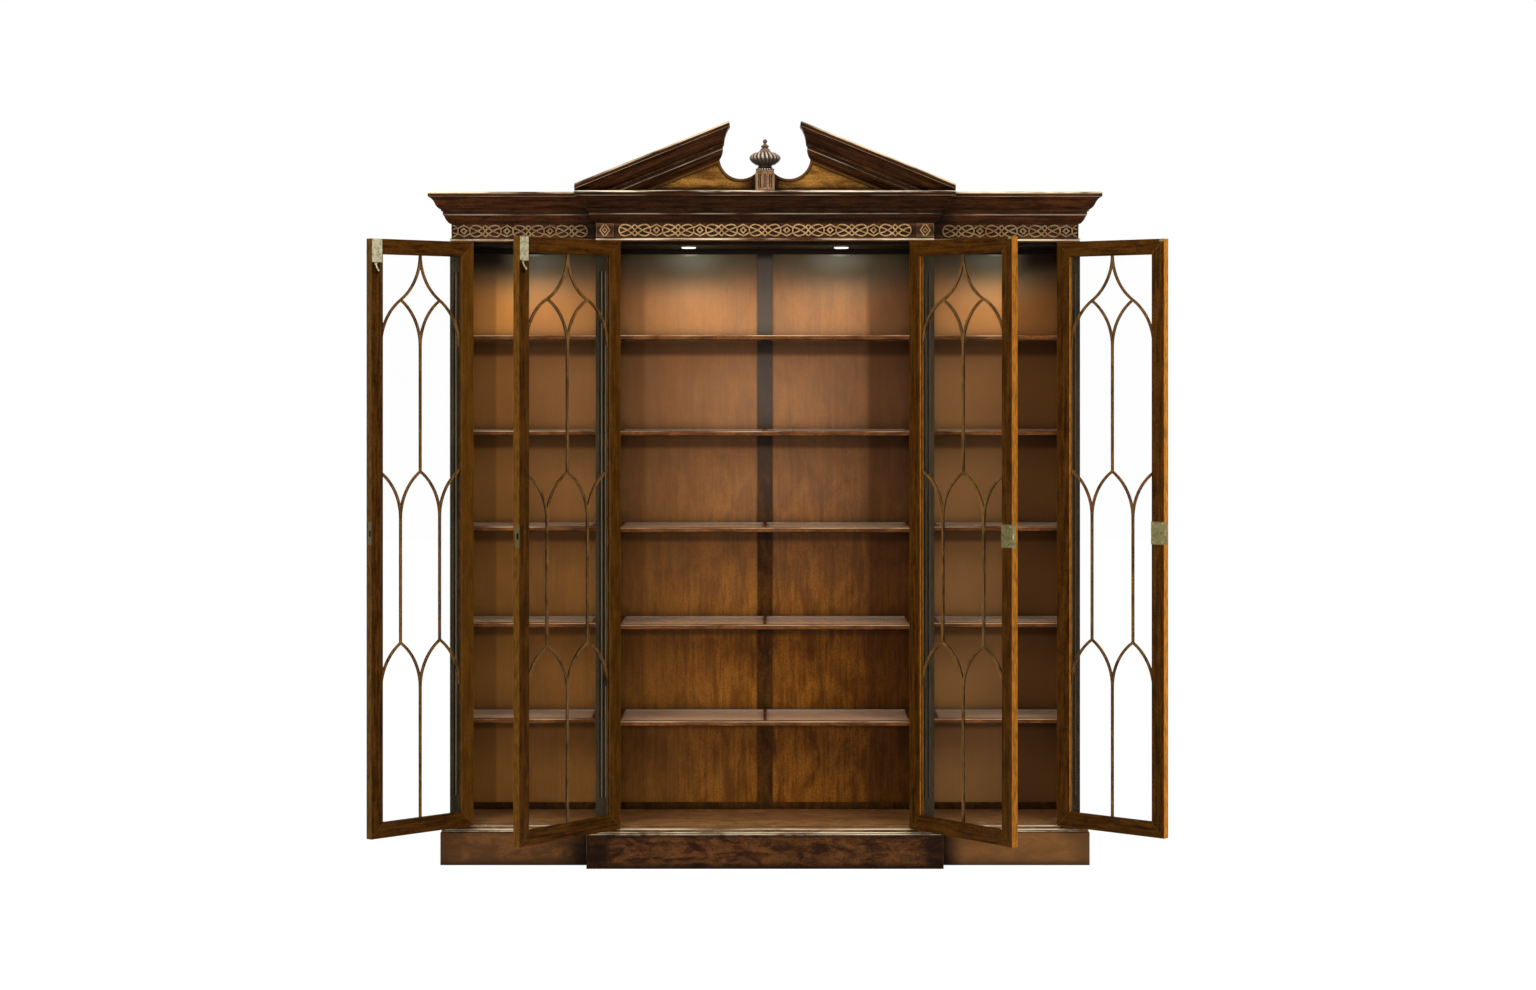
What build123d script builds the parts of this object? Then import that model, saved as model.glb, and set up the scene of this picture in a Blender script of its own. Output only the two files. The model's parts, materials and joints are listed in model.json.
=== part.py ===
"""Breakfront bookcase with four glazed doors, a broken pediment and a turned urn.

Frame: millimetres, +Z up, +X to the right seen from the front, the front faces -Y.
The origin is on the floor in the middle of the footprint, under the middle bearer.
Every sub-part is written to parts/NODE.step.  The doors stand open, as stored.
"""
from build123d import *
import math
import os

os.makedirs("parts", exist_ok=True)

# ------------------------------------------------------------------ driving sizes
# carcass, in plan
centre_half_width = 603.0       # centreline to the outer face of the centre section
wing_half_width = 1130.0        # centreline to the outer face of a wing
carcass_depth = 455.0           # centre pilaster face to the back edges of the sides
breakfront_step = 81.0          # how far the wings stand back behind the centre
pilaster_width = 65.0
pilaster_thickness = 26.0
side_thickness = 20.0           # outer sides and both skins of the piers

# carcass, in height
plinth_height = 120.0
base_mould_height = 19.0
door_height = 2087.0
frieze_height = 66.0            # from the door head to the underside of the cornice
cornice_height = 110.0

# plinth and its bearers
plinth_projection = 31.0        # plinth face ahead of the pilaster face
plinth_board = 22.0
bearer_width = 50.0

# mouldings
base_mould_projection = 29.0
base_mould_bead = 7.0           # height of the rounded nose
base_mould_cove = 9.0           # where the cove above the nose ends
plinth_round = 4.0              # rounding of the plinth's top arris
frieze_setback = 5.0            # frieze face behind the pilaster face
frieze_board = 20.0
head_bead_height = 12.0
head_bead_projection = 3.0
cornice_projection = 72.0
cornice_body = 24.0             # solid wood of the cornice behind the pilaster face
bed_cove_reach = 20.0           # bed mould: the hollow under the cornice
bed_cove_height = 29.0
bed_fillet = 3.0
corona_foot = 43.0              # underside of the small step over the bed mould
corona_reach = 29.0
corona_height = 5.0
cyma_start = 22.0               # cyma's turning point behind and below the crown
cyma_drop = 39.0
crown_height = 17.0             # top fillet
crown_relief = 2.0
block_width = 62.0              # square block over each centre pilaster
block_height = 50.0
block_relief = 4.0
dust_board_thickness = 14.0
head_rail_thickness = 20.0      # rail at the back, between the sides and the dust boards

# blind fret planted on the frieze
fret_relief = 2.5
fret_strand = 4.2
fret_height = 45.0
fret_loop_length = 116.0        # a pair of interlaced loops, end to end
fret_pitch = 154.6              # from one pair of loops to the next
fret_lozenge = 10.0             # half the diagonal of the lozenge between two pairs
centre_fret_pairs = 7
wing_fret_pairs = 3
wing_fret_start = 33.0          # first loop of a wing from the centre section's side
fret_tie_spread = 1.7           # flatness of the strands that tie two pairs
fret_waist = (0.45, 0.72)       # middle of a loop's strand, as shares of its length and height
fret_tie = (0.55, 0.22)         # the same for the strand that crosses inside a loop
fret_tie_end = (0.8, -0.5)
wing_fret_margin = 10.0         # bare frieze at a wing's outer corner
block_lozenge = 8.0
block_strand = 3.2
block_motif_relief = 1.5
block_motif_spread = (2.2, 3.0) # width and height of the big lozenge over the small one
block_motif_margin = 5.0
block_chamfer = 1.5

# flutes of the pilasters
flute_count = 3
flute_pitch = 14.0
flute_radius = 5.0
flute_depth = 3.2
flute_top_margin = 110.0
flute_foot_margin = 110.0

# floor, ceiling and back
floor_thickness = 24.0
ceiling_thickness = 14.0
back_setback = 18.0             # panel face ahead of the back edges of the sides
back_panel_thickness = 10.0
back_stile_width = 55.0
back_frame_thickness = 16.0
back_frame_relief = 4.0         # frame face ahead of the panel face
back_foot_rail_height = 26.0
back_head_rail_height = 18.0

# shelves
shelf_tops = (515.0, 860.0, 1207.0, 1552.0, 1895.0)
shelf_thickness = 17.0
shelf_setback = 40.0            # shelf edge behind the door face
shelf_front_rail = 45.0
shelf_back_rail = 25.0
shelf_end_rail = 30.0
shelf_middle_rail = 28.0
shelf_side_gap = 1.5
shelf_back_gap = 1.0
shelf_nosing = 5.0
shelf_pane_thickness = 6.0
shelf_pane_lap = 8.0            # how far a pane lies on the rebate of its frame
pane_gap = 0.3
bracket_tab = 10.0              # brass shelf bracket, an angle under the shelf
bracket_drop = 10.0
bracket_width = 12.0
bracket_thickness = 1.6
bracket_inset = 45.0            # bracket centre from the shelf's front and back

# lamps in the ceiling
lamp_radius = 26.0
lamp_height = 4.0
lamp_rim = 6.0
lamp_lens_recess = 1.0
lamp_lens_gap = 0.2
lamp_chamfer = 1.2
centre_lamp_x = 277.0

# doors
door_thickness = 26.5
door_gap = 2.0                  # between a door and everything around it
door_stop_gap = 1.2             # between a shut door and the edge that stops it
door_member = 54.0              # width of stiles and rails
ovolo_width = 9.0               # moulding on the front inner edge
ovolo_depth = 8.0
ovolo_quirk = 1.5               # step at each end of the ovolo
rear_chamfer = 5.0              # moulding on the rear inner edge
glass_groove_front = 13.0       # groove's front wall behind the door's face
glass_thickness = 4.0
glass_gap = 0.2
glass_groove_depth = 8.0
glass_edge_gap = 1.0
bar_width = 9.5
bar_depth = 9.0
bead_width = 5.5                # narrower front member of a glazing bar
bead_depth = 4.0
lancet_rise = 163.0             # height of each pointed arch
upper_apex = 2017.0
middle_apex = 1413.0
lower_apex = 814.0
centre_left_angle = 127.5       # doors stand open by this much as stored
centre_right_angle = 128.0
wing_left_angle = 135.0
wing_right_angle = 138.5

# butt hinges
hinge_height = 76.0
hinge_leaf = 2.0
hinge_leaf_depth = 18.0
hinge_knuckle = 4.5
hinge_face_gap = 0.3
hinge_pin = 2.2
hinge_pin_gap = 0.05
hinge_knuckle_gap = 0.4
hinge_inset = 190.0             # middle of the end hinges from the door's ends

# lever flush bolts in the left-hand doors
flush_plate_width = 44.0
flush_plate_height = 82.0
inlay = 2.0                     # thickness of every brass plate let into the wood
flush_plate_inset = 4.0
rod_radius = 4.0
rod_gap = 0.05
rod_inset = 22.0                # rod centre from the door's free edge
rod_from_face = 15.0            # rod centre behind the door's face
rod_length = 82.5
rod_top_recess = 0.5
rod_throw = 12.0
keep_gap = 0.6
lever_mortise_width = 34.0
lever_mortise_top = 70.0        # below the door's top edge
lever_mortise_foot = 124.0
lever_mortise_floor = 10.0      # mortise floor behind the door's face
lever_pivot_drop = 87.0
lever_hub = 3.0
lever_width = 6.0
lever_stem = 3.0
lever_length = 33.0
lever_rest_angle = 32.0         # the lever stands out by this much when the rod is down
lever_pin = 1.5
lever_pin_gap = 0.05
lever_cheek = 2.0               # cheeks behind the plate that carry the lever's pin
lever_cheek_gap = 0.2
lever_cheek_lap = 8.0           # how far the cheeks reach up behind the plate
lever_set_back = 0.3            # lever's hub behind the plate
lever_taper = 0.6               # share of the lever's length before its tip turns out
lever_tip = 2.0                 # how far the tip turns out

# locks in the right-hand doors
lock_height_z = 1203.0
lock_plate_height = 79.0
lock_wrap = 18.0                # plate's return on the free edge
lock_case_length = 34.0
lock_case_height = 60.0
lock_case_thickness = 11.0
bolt_thickness = 6.0
bolt_height = 18.0
bolt_length = 28.0
bolt_gap = 0.1
bolt_recess = 0.5
bolt_throw = 8.0
bolt_from_face = 16.0
spindle_radius = 4.0
spindle_gap = 0.05
spindle_inset = 23.0
rose_radius = 12.0
rose_thickness = 1.5
turn_length = 19.0
turn_width = 8.0
turn_projection = 9.0
turn_rounding = 1.6
turn_gap = 0.3                  # between the turn and its rose
bolt_channel_spare = 3.0        # room behind the drawn bolt
spindle_short = 0.5             # spindle ends short of the bolt
keep_window_gap = 1.5
keep_depth = 10.0
catch_length = 18.0

# pediment
rake_angle = 22.0
rake_tip_x = 127.0
rake_tip_z = 2652.0
tympanum_thickness = 19.0
tympanum_rim = 8.0
tympanum_rim_relief = 4.0
scoop_radius = 76.5
scoop_centre_x = 85.4
scoop_centre_z = 2527.6
return_set_back = 12.0          # the raking cornice's moulded end, from the scoop's side
return_cyma_foot = 34.0
return_fillet_foot = 46.0
return_step = 4.0
return_step_rise = 6.0
return_crown = 22.0
return_crown_step = 18.0
return_crown_reach = 3.0
pedestal_half_width = 33.0
pedestal_height = 72.0
pedestal_depth = 56.0
pedestal_flute_radius = 6.5
pedestal_flute_pitch = 19.0
pedestal_flute_foot = 10.0
pedestal_flute_top = 16.0
pedestal_flute_set = 0.4        # flute's axis ahead of the face, as a share of its radius

# urn, as (radius, height over the pedestal)
urn_foot = (32.0, 8.0)
urn_foot_fillet = 27.0
urn_stem = (25.0, 15.0)
urn_stem_height = 4.0
urn_bowl = (56.0, 45.0)
urn_rim = (40.0, 63.0)
urn_lid = (19.0, 68.0)
urn_neck = (9.0, 83.0)
urn_disc = (14.5, 85.0)
urn_disc_height = 4.0
urn_disc_top = 12.0
urn_waist = (5.0, 98.0)
urn_bud = (8.0, 109.0)
urn_height = 112.0

# ------------------------------------------------------------------ worked-out places
centre_face_y = plinth_projection - (carcass_depth + plinth_projection) / 2
wing_face_y = centre_face_y + breakfront_step
back_y = centre_face_y + carcass_depth
panel_face_y = back_y - back_setback
centre_opening = centre_half_width - pilaster_width
wing_opening = wing_half_width - pilaster_width
wing_inner = wing_half_width - side_thickness

base_top = plinth_height + base_mould_height
door_foot = base_top + door_gap
door_top = door_foot + door_height
head_z = door_top + door_gap
frieze_top = head_z + frieze_height
cornice_top = frieze_top + cornice_height
floor_top = plinth_height + floor_thickness
ceiling_z = head_z - ceiling_thickness
door_clear_y = door_thickness + hinge_face_gap + door_stop_gap


# ------------------------------------------------------------------ helpers
def block(x0, x1, y0, y1, z0, z1):
    """Box between two corners."""
    size = (x1 - x0, y1 - y0, z1 - z0)
    return Pos(x0, y0, z0) * Box(*size, align=(Align.MIN, Align.MIN, Align.MIN))


def bowed(start, end, bow):
    """Arc from start to end whose middle stands off the chord by bow, to its left."""
    run, rise = end[0] - start[0], end[1] - start[1]
    chord = math.hypot(run, rise)
    middle = ((start[0] + end[0]) / 2 - rise / chord * bow,
              (start[1] + end[1]) / 2 + run / chord * bow)
    return ThreePointArc(start, middle, end)


def outline(*corners):
    """Closed face through corners; a corner given as (point, bow) is reached by an arc."""
    points = [corner[0] if isinstance(corner[0], tuple) else corner for corner in corners]
    bows = [corner[1] if isinstance(corner[0], tuple) else 0.0 for corner in corners]
    edges = []
    for index, end in enumerate(points):
        start = points[index - 1]
        edges.append(bowed(start, end, bows[index]) if bows[index] else Line(start, end))
    return make_face(edges)


def upright(face, y0, y1):
    """Extrude a face drawn in X and Z from y0 back to y1."""
    return extrude(Plane.XZ.offset(-y1) * face, amount=y1 - y0)


def both_sides(shapes):
    """The shapes and their mirror images across the centreline."""
    return list(shapes) + [mirror(shape, about=Plane.YZ) for shape in shapes]


def save(name, shapes):
    """Write one node; several shapes stay separate solids in it."""
    if not isinstance(shapes, (list, tuple)):
        shapes = [shapes]
    solids = [solid for shape in shapes for solid in shape.solids()]
    export_step(Compound(children=solids) if len(solids) > 1 else solids[0],
                f"parts/{name}.step")


def mitred_run(section, start, end, start_corner, end_corner, z, inner, outer):
    """Moulding along start-end, cut at each end.

    The section is drawn outward and upward from the run's line, and its outside is
    to the left of the direction of travel.  A corner of 1 is an outside mitre, -1 an
    inside mitre and 0 a square end; inner and outer bound the section.
    """
    along = Vector(end[0] - start[0], end[1] - start[1], 0).normalized()
    outward = Vector(-along.Y, along.X, 0)
    spare = inner + outer
    origin = Vector(*start, z) - along * spare
    length = (Vector(*end, z) - origin).length + spare
    plane = Plane(origin=origin, x_dir=outward, z_dir=along)
    bar = extrude(plane * section, amount=length)
    foot, head = Vector(*start, 0), Vector(*end, 0)
    corners = [
        foot - (outward - along * start_corner) * inner,
        foot + (outward - along * start_corner) * outer,
        head + (outward + along * end_corner) * outer,
        head - (outward + along * end_corner) * inner,
    ]
    footprint = make_face(Polyline(*[(c.X, c.Y) for c in corners], close=True))
    top = bar.bounding_box().max.Z + 1
    return bar & extrude(footprint, amount=top)


def centre_runs(section, z, inner, outer):
    """Right return, front and left return round the projecting centre section."""
    inside = (centre_half_width, wing_face_y)
    corner = (centre_half_width, centre_face_y)
    far = (-centre_half_width, centre_face_y)
    side = mitred_run(section, inside, corner, -1, 1, z, inner, outer)
    front = mitred_run(section, corner, far, 1, 1, z, inner, outer)
    return [side, front, mirror(side, about=Plane.YZ)]


def wing_runs(section, z, inner, outer):
    """Side return and front of the right wing."""
    rear = (wing_half_width, back_y)
    corner = (wing_half_width, wing_face_y)
    inside = (centre_half_width, wing_face_y)
    side = mitred_run(section, rear, corner, 0, 1, z, inner, outer)
    front = mitred_run(section, corner, inside, 1, -1, z, inner, outer)
    return [side, front]


# ------------------------------------------------------------------ plinth and base
def plinth_section():
    inner = plinth_projection - plinth_board
    return outline((inner, 0), (plinth_projection, 0),
                   (plinth_projection, plinth_height - plinth_round),
                   ((plinth_projection - plinth_round, plinth_height), plinth_round * 0.3),
                   (inner, plinth_height))


def base_mould_section():
    nose = base_mould_projection
    bead = base_mould_bead
    fillet_foot = base_mould_height - base_mould_cove / 3
    return outline((0, 0), (nose, 0), ((nose, bead), bead * 0.37),
                   (nose - bead * 0.7, bead),
                   ((base_mould_cove, fillet_foot), -base_mould_cove / 3),
                   (base_mould_cove, base_mould_height), (0, base_mould_height))


def bearers():
    """Front-to-back bearers under the sides, piers and middle, and the back board."""
    rear = back_y - plinth_board
    behind_front = plinth_projection - plinth_board
    middle = block(-bearer_width / 2, bearer_width / 2,
                   centre_face_y - behind_front, rear, 0, plinth_height)
    pier = block(centre_opening, centre_half_width,
                 centre_face_y - behind_front, rear, 0, plinth_height)
    outer_x = wing_half_width + behind_front
    outer = block(outer_x - bearer_width, outer_x,
                  wing_face_y - behind_front, rear, 0, plinth_height)
    board = block(-outer_x, outer_x, rear, back_y, 0, plinth_height)
    return [middle, board] + both_sides([pier, outer])


def floor_board(x0, x1, face_y):
    """Floor with a lower lip under the doors, so that its edge is their stop."""
    lip = block(x0, x1, face_y, face_y + door_clear_y, plinth_height, base_top)
    deck = block(x0, x1, face_y + door_clear_y, panel_face_y - back_frame_relief,
                 plinth_height, floor_top)
    return lip + deck


save("plinth_centre", centre_runs(plinth_section(), 0, 0, plinth_projection + 1))
save("plinth_wings", both_sides(wing_runs(plinth_section(), 0, 0, plinth_projection + 1)))
save("plinth_bearers", bearers())
save("base_moulding",
     centre_runs(base_mould_section(), plinth_height, 1, base_mould_projection + 4)
     + both_sides(wing_runs(base_mould_section(), plinth_height, 1,
                            base_mould_projection + 4)))
save("floor_boards",
     [floor_board(-centre_opening, centre_opening, centre_face_y)]
     + both_sides([floor_board(centre_half_width, wing_opening, wing_face_y)
                   + block(wing_opening, wing_inner, wing_face_y + pilaster_thickness,
                           panel_face_y - back_frame_relief, plinth_height, floor_top)]))


# ------------------------------------------------------------------ door furniture
# A door is drawn closed on the left of its opening: s runs from its hinged edge to
# its free edge, y from its face backwards, both measured from the door's own corner.
def flush_plate(width):
    """Plate let into the rear face at the top of a free stile, or its recess."""
    plate_left = width - flush_plate_inset - flush_plate_width
    return block(plate_left, plate_left + flush_plate_width, door_thickness - inlay,
                 door_thickness, door_top - flush_plate_height, door_top)


def flush_bolt_cuts(width):
    """Rod bore and lever mortise in a free stile."""
    rod_x = width - rod_inset
    bore = Pos(rod_x, rod_from_face, door_top - lever_mortise_top) * Cylinder(
        rod_radius + rod_gap, lever_mortise_top,
        align=(Align.CENTER, Align.CENTER, Align.MIN))
    mortise = block(rod_x - lever_mortise_width / 2, rod_x + lever_mortise_width / 2,
                    lever_mortise_floor, door_thickness,
                    door_top - lever_mortise_foot, door_top - lever_mortise_top)
    return bore, mortise


def edge_plate(width, rear_reach):
    """Brass plate on the free edge, turned onto the rear face by rear_reach."""
    low = lock_height_z - lock_plate_height / 2
    high = low + lock_plate_height
    plate = block(width - inlay, width, door_thickness - lock_wrap, door_thickness,
                  low, high)
    if rear_reach:
        plate += block(width - rear_reach, width, door_thickness - inlay,
                       door_thickness, low, high)
    return plate


def bolt_window(width, depth, gap):
    """Room for the thrown lock bolt, from the free edge inwards."""
    return block(width - depth, width, bolt_from_face - gap,
                 bolt_from_face + bolt_thickness + gap,
                 lock_height_z - bolt_height / 2 - gap,
                 lock_height_z + bolt_height / 2 + gap)


def lock_case_block(width, grow):
    """Body of the lock in its mortise, or the mortise itself."""
    rear = door_thickness - inlay
    return block(width - inlay - lock_case_length, width - inlay,
                 rear - lock_case_thickness, rear + grow,
                 lock_height_z - lock_case_height / 2,
                 lock_height_z + lock_case_height / 2)


def along_depth(radius, x, z, y0, y1):
    """Cylinder that runs through the door's thickness."""
    disc = Plane.XZ.offset(-y1) * Pos(x, z) * Circle(radius)
    return extrude(disc, amount=y1 - y0)


def catch_plate(width):
    """Small plate at the top of the rear face, near the free edge."""
    return block(width - catch_length - inlay, width - inlay, door_thickness - inlay,
                 door_thickness, door_top - catch_length / 2, door_top)


# ------------------------------------------------------------------ doors
def member_section():
    """Cross-section of a stile or rail: x across from the outer edge, y in depth."""
    lip_start = glass_groove_front
    lip_end = glass_groove_front + glass_thickness + glass_gap
    groove = door_member - glass_groove_depth
    return outline((0, 0), (door_member - ovolo_width, 0),
                   (door_member - ovolo_width, ovolo_quirk),
                   ((door_member, ovolo_depth + ovolo_quirk), ovolo_depth * 0.3),
                   (door_member, lip_start), (groove, lip_start),
                   (groove, lip_end), (door_member, lip_end),
                   (door_member, door_thickness - rear_chamfer),
                   ((door_member - rear_chamfer, door_thickness), -1.2),
                   (0, door_thickness))


def door_frame(width):
    """Hinge stile, free stile, foot rail and top rail, mitred at the corners."""
    stile = extrude(Plane.XY.offset(door_foot) * member_section(), amount=door_height)
    cut = outline((0, door_foot), (door_member, door_foot + door_member),
                  (door_member, door_top - door_member), (0, door_top))
    hinge_stile = stile & upright(cut, 0, door_thickness)
    free_stile = Pos(width, 0, 0) * mirror(hinge_stile, about=Plane.YZ)
    rail_plane = Plane(origin=(0, 0, door_foot), x_dir=(0, 0, 1), z_dir=(-1, 0, 0))
    rail = extrude(rail_plane * member_section(), amount=-width)
    cut = outline((0, door_foot), (width, door_foot),
                  (width - door_member, door_foot + door_member),
                  (door_member, door_foot + door_member))
    foot_rail = rail & upright(cut, 0, door_thickness)
    middle = Plane.XY.offset((door_foot + door_top) / 2)
    return hinge_stile, free_stile, foot_rail, mirror(foot_rail, about=middle)


def lattice(width, strand):
    """Glazing bars in elevation: an ogee over two lancets, then two more tiers."""
    left, right = door_member, width - door_member
    foot, top = door_foot + door_member, door_top - door_member
    quarter = (right - left) / 4
    centre = left + 2 * quarter
    radius = (quarter ** 2 + lancet_rise ** 2) / (2 * quarter)
    ring = Circle(radius + strand / 2) - Circle(radius - strand / 2)

    def window(x0, x1, z0, z1):
        return Pos((x0 + x1) / 2, (z0 + z1) / 2) * Rectangle(x1 - x0, z1 - z0)

    def half_arch(spring_x, toward, apex_z):
        """Arc that leaves spring_x upright and reaches the apex a quarter away."""
        arc = Pos(spring_x + toward * radius, apex_z - lancet_rise) * ring
        near, far = sorted((spring_x - toward * strand / 2, spring_x + toward * quarter))
        return arc & window(near, far, apex_z - lancet_rise, apex_z + strand * 3)

    def ogee_arm(toward):
        """Arc that leaves the middle of the top rail and flares to the quarter."""
        arc = Pos(centre + toward * radius, upper_apex + lancet_rise) * ring
        near, far = sorted((centre - toward * strand / 2, centre + toward * quarter))
        return arc & window(near, far, upper_apex - strand, top)

    def bar(x, z0, z1):
        return window(x - strand / 2, x + strand / 2, z0, z1)

    quarters = (left + quarter, right - quarter)
    arcs = [ogee_arm(1), ogee_arm(-1)]
    for spring, toward in ((left, 1), (centre, -1), (centre, 1), (right, -1)):
        arcs.append(half_arch(spring, toward, upper_apex))
        arcs.append(half_arch(spring, toward, lower_apex))
    for spring in quarters:
        arcs.append(half_arch(spring, 1, middle_apex))
        arcs.append(half_arch(spring, -1, middle_apex))
    bars = [bar(centre, middle_apex - strand / 2, upper_apex - lancet_rise),
            bar(centre, foot, lower_apex - lancet_rise)]
    bars += [bar(x, lower_apex - strand / 2, middle_apex - lancet_rise) for x in quarters]
    whole = arcs[0]
    for piece in arcs[1:] + bars:
        whole += piece
    return whole & window(left, right, foot, top)


def glazing_bars(width):
    """Astragal bars in front of the glass: a broad back and a narrow front bead."""
    shoulder = glass_groove_front - bar_depth + bead_depth
    back = upright(lattice(width, bar_width), shoulder, glass_groove_front)
    bead = upright(lattice(width, bead_width), shoulder - bead_depth, shoulder)
    return back + bead


def glass_pane(width):
    reach = door_member - glass_groove_depth + glass_edge_gap
    front = glass_groove_front + glass_gap / 2
    return block(reach, width - reach, front, front + glass_thickness,
                 door_foot + reach, door_top - reach)


def hinge_heights():
    middle = (door_foot + door_top) / 2
    return (door_foot + hinge_inset, middle, door_top - hinge_inset)


def hinge_leaf_solid(z, for_door):
    """One leaf about a pin at x = 0, y = 0; the door lies on +x, its face at y > 0."""
    third = hinge_height / 3
    side = 1 if for_door else -1
    near, far = sorted((side * door_gap / 2, side * (door_gap / 2 + hinge_leaf)))
    face = hinge_knuckle + hinge_face_gap
    leaf = block(near, far, face, face + hinge_leaf_depth,
                 z - hinge_height / 2, z + hinge_height / 2)
    if for_door:
        spans = [(z - third / 2 + hinge_knuckle_gap, z + third / 2 - hinge_knuckle_gap)]
    else:
        spans = [(z - hinge_height / 2, z - third / 2), (z + third / 2, z + hinge_height / 2)]
    for low, high in spans:
        leaf += block(near, far, 0, face, low, high)
        leaf += Pos(0, 0, low) * Cylinder(hinge_knuckle, high - low,
                                          align=(Align.CENTER, Align.CENTER, Align.MIN))
    if for_door:
        return leaf - Pos(0, 0, z) * Cylinder(hinge_pin + hinge_pin_gap, hinge_height)
    return leaf + Pos(0, 0, z) * Cylinder(hinge_pin, hinge_height + 2)


def leaf_recess(z):
    """Recess for a leaf in the edge of a stile, from the door's own corner."""
    return block(0, hinge_leaf, 0, hinge_leaf_depth,
                 z - hinge_height / 2, z + hinge_height / 2)


def lever():
    """Flush-bolt lever about its pivot at the origin, swung out to where it rests."""
    plane = Plane(origin=(-lever_width / 2, 0, 0), x_dir=(0, 1, 0), z_dir=(1, 0, 0))
    half = lever_stem / 2
    bend = -lever_length * lever_taper
    shank = outline((-half, 0), (-half, bend), ((half, -lever_length), half * 0.8),
                    (half + lever_tip, lever_tip / 2 - lever_length),
                    ((half, bend), -half * 0.8), (half, 0))
    pressed = extrude(plane * Circle(lever_hub), amount=lever_width) \
        + extrude(plane * shank, amount=lever_width)
    pressed -= extrude(plane * Circle(lever_pin + lever_pin_gap), amount=lever_width)
    return Rot(lever_rest_angle, 0, 0) * pressed


def lever_bearing(width):
    """Two cheeks behind the flush plate, and the pin that the lever turns on."""
    rod_x = width - rod_inset
    pivot_y = lever_pivot_y()
    pivot_z = door_top - lever_pivot_drop
    near = lever_width / 2 + lever_cheek_gap
    far = near + lever_cheek
    low = pivot_z - lever_hub - lever_pin_gap
    high = door_top - flush_plate_height + lever_cheek_lap
    cheek = block(near, far, pivot_y - lever_hub, door_thickness - inlay, low, high)
    pin_plane = Plane(origin=(-far, pivot_y, pivot_z), x_dir=(0, 1, 0), z_dir=(1, 0, 0))
    pin = extrude(pin_plane * Circle(lever_pin), amount=2 * far)
    return Pos(rod_x, 0, 0) * (cheek + mirror(cheek, about=Plane.YZ) + pin)


def lever_pivot_y():
    return door_thickness - inlay - lever_hub - lever_set_back


def left_door(name, pin_x, face_y, width, angle):
    """Door hinged on its left, with a lever flush bolt and a strike plate."""
    hinge_stile, free_stile, foot_rail, top_rail = door_frame(width)
    for z in hinge_heights():
        hinge_stile -= leaf_recess(z)
    rod_bore, lever_mortise = flush_bolt_cuts(width)
    window = bolt_window(width, keep_depth, keep_window_gap)
    for cut in (flush_plate(width), rod_bore, lever_mortise, edge_plate(width, 0), window):
        free_stile -= cut
    top_rail -= flush_plate(width)
    top_rail -= rod_bore
    bolt_plate = flush_plate(width) + lever_bearing(width)
    strike = edge_plate(width, 0) - window
    rod = Pos(width - rod_inset, rod_from_face, door_top - rod_top_recess - rod_length) \
        * Cylinder(rod_radius, rod_length, align=(Align.CENTER, Align.CENTER, Align.MIN))
    lever_place = Pos(width - rod_inset, lever_pivot_y(), door_top - lever_pivot_drop)
    pieces = {
        "stiles": [hinge_stile, free_stile],
        "rails": [foot_rail, top_rail],
        "glazing_bars": [glazing_bars(width)],
        "glass": [glass_pane(width)],
        "bolt_plates": [bolt_plate, strike],
        "flush_rod": [rod],
        "flush_lever": [lever_place * lever()],
    }
    place_door(name, pieces, pin_x, face_y, angle, False)


def right_door(name, pin_x, face_y, width, angle):
    """Door hinged on its right, drawn as a left one and mirrored: it has the lock."""
    hinge_stile, free_stile, foot_rail, top_rail = door_frame(width)
    for z in hinge_heights():
        hinge_stile -= leaf_recess(z)
    spindle_x = width - spindle_inset
    case_front = door_thickness - inlay - lock_case_thickness
    free_stile -= edge_plate(width, door_member)
    free_stile -= lock_case_block(width, 0)
    free_stile -= along_depth(spindle_radius + spindle_gap, spindle_x, lock_height_z,
                              0, case_front)
    top_rail -= catch_plate(width)
    free_stile -= catch_plate(width)
    channel = block(width - bolt_length - bolt_channel_spare, width,
                    bolt_from_face - bolt_gap,
                    bolt_from_face + bolt_thickness + bolt_gap,
                    lock_height_z - bolt_height / 2 - bolt_gap,
                    lock_height_z + bolt_height / 2 + bolt_gap)
    spindle_end = bolt_from_face - spindle_short
    lock = edge_plate(width, door_member) + lock_case_block(width, 0) - channel
    lock -= along_depth(spindle_radius + spindle_gap, spindle_x, lock_height_z,
                        case_front, bolt_from_face)
    rose = along_depth(rose_radius, spindle_x, lock_height_z, -rose_thickness, 0) \
        - along_depth(spindle_radius + spindle_gap, spindle_x, lock_height_z,
                      -rose_thickness, 0)
    bolt = block(width - bolt_recess - bolt_length, width - bolt_recess, bolt_from_face,
                 bolt_from_face + bolt_thickness, lock_height_z - bolt_height / 2,
                 lock_height_z + bolt_height / 2)
    grip = Pos(spindle_x, lock_height_z) * SlotOverall(turn_length, turn_width, rotation=90)
    turn_foot = rose_thickness + turn_gap
    turn = extrude(Plane.XZ.offset(turn_foot) * grip, amount=turn_projection - turn_foot)
    turn = fillet(turn.faces().sort_by(Axis.Y)[0].edges(), turn_rounding)
    turn += along_depth(spindle_radius, spindle_x, lock_height_z, -turn_foot, spindle_end)
    pieces = {
        "stiles": [hinge_stile, free_stile],
        "rails": [foot_rail, top_rail],
        "glazing_bars": [glazing_bars(width)],
        "glass": [glass_pane(width)],
        "lock_plates": [lock, rose, catch_plate(width)],
        "lock_bolt": [bolt],
        "lock_turn": [turn],
    }
    place_door(name, pieces, pin_x, face_y, angle, True)


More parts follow.
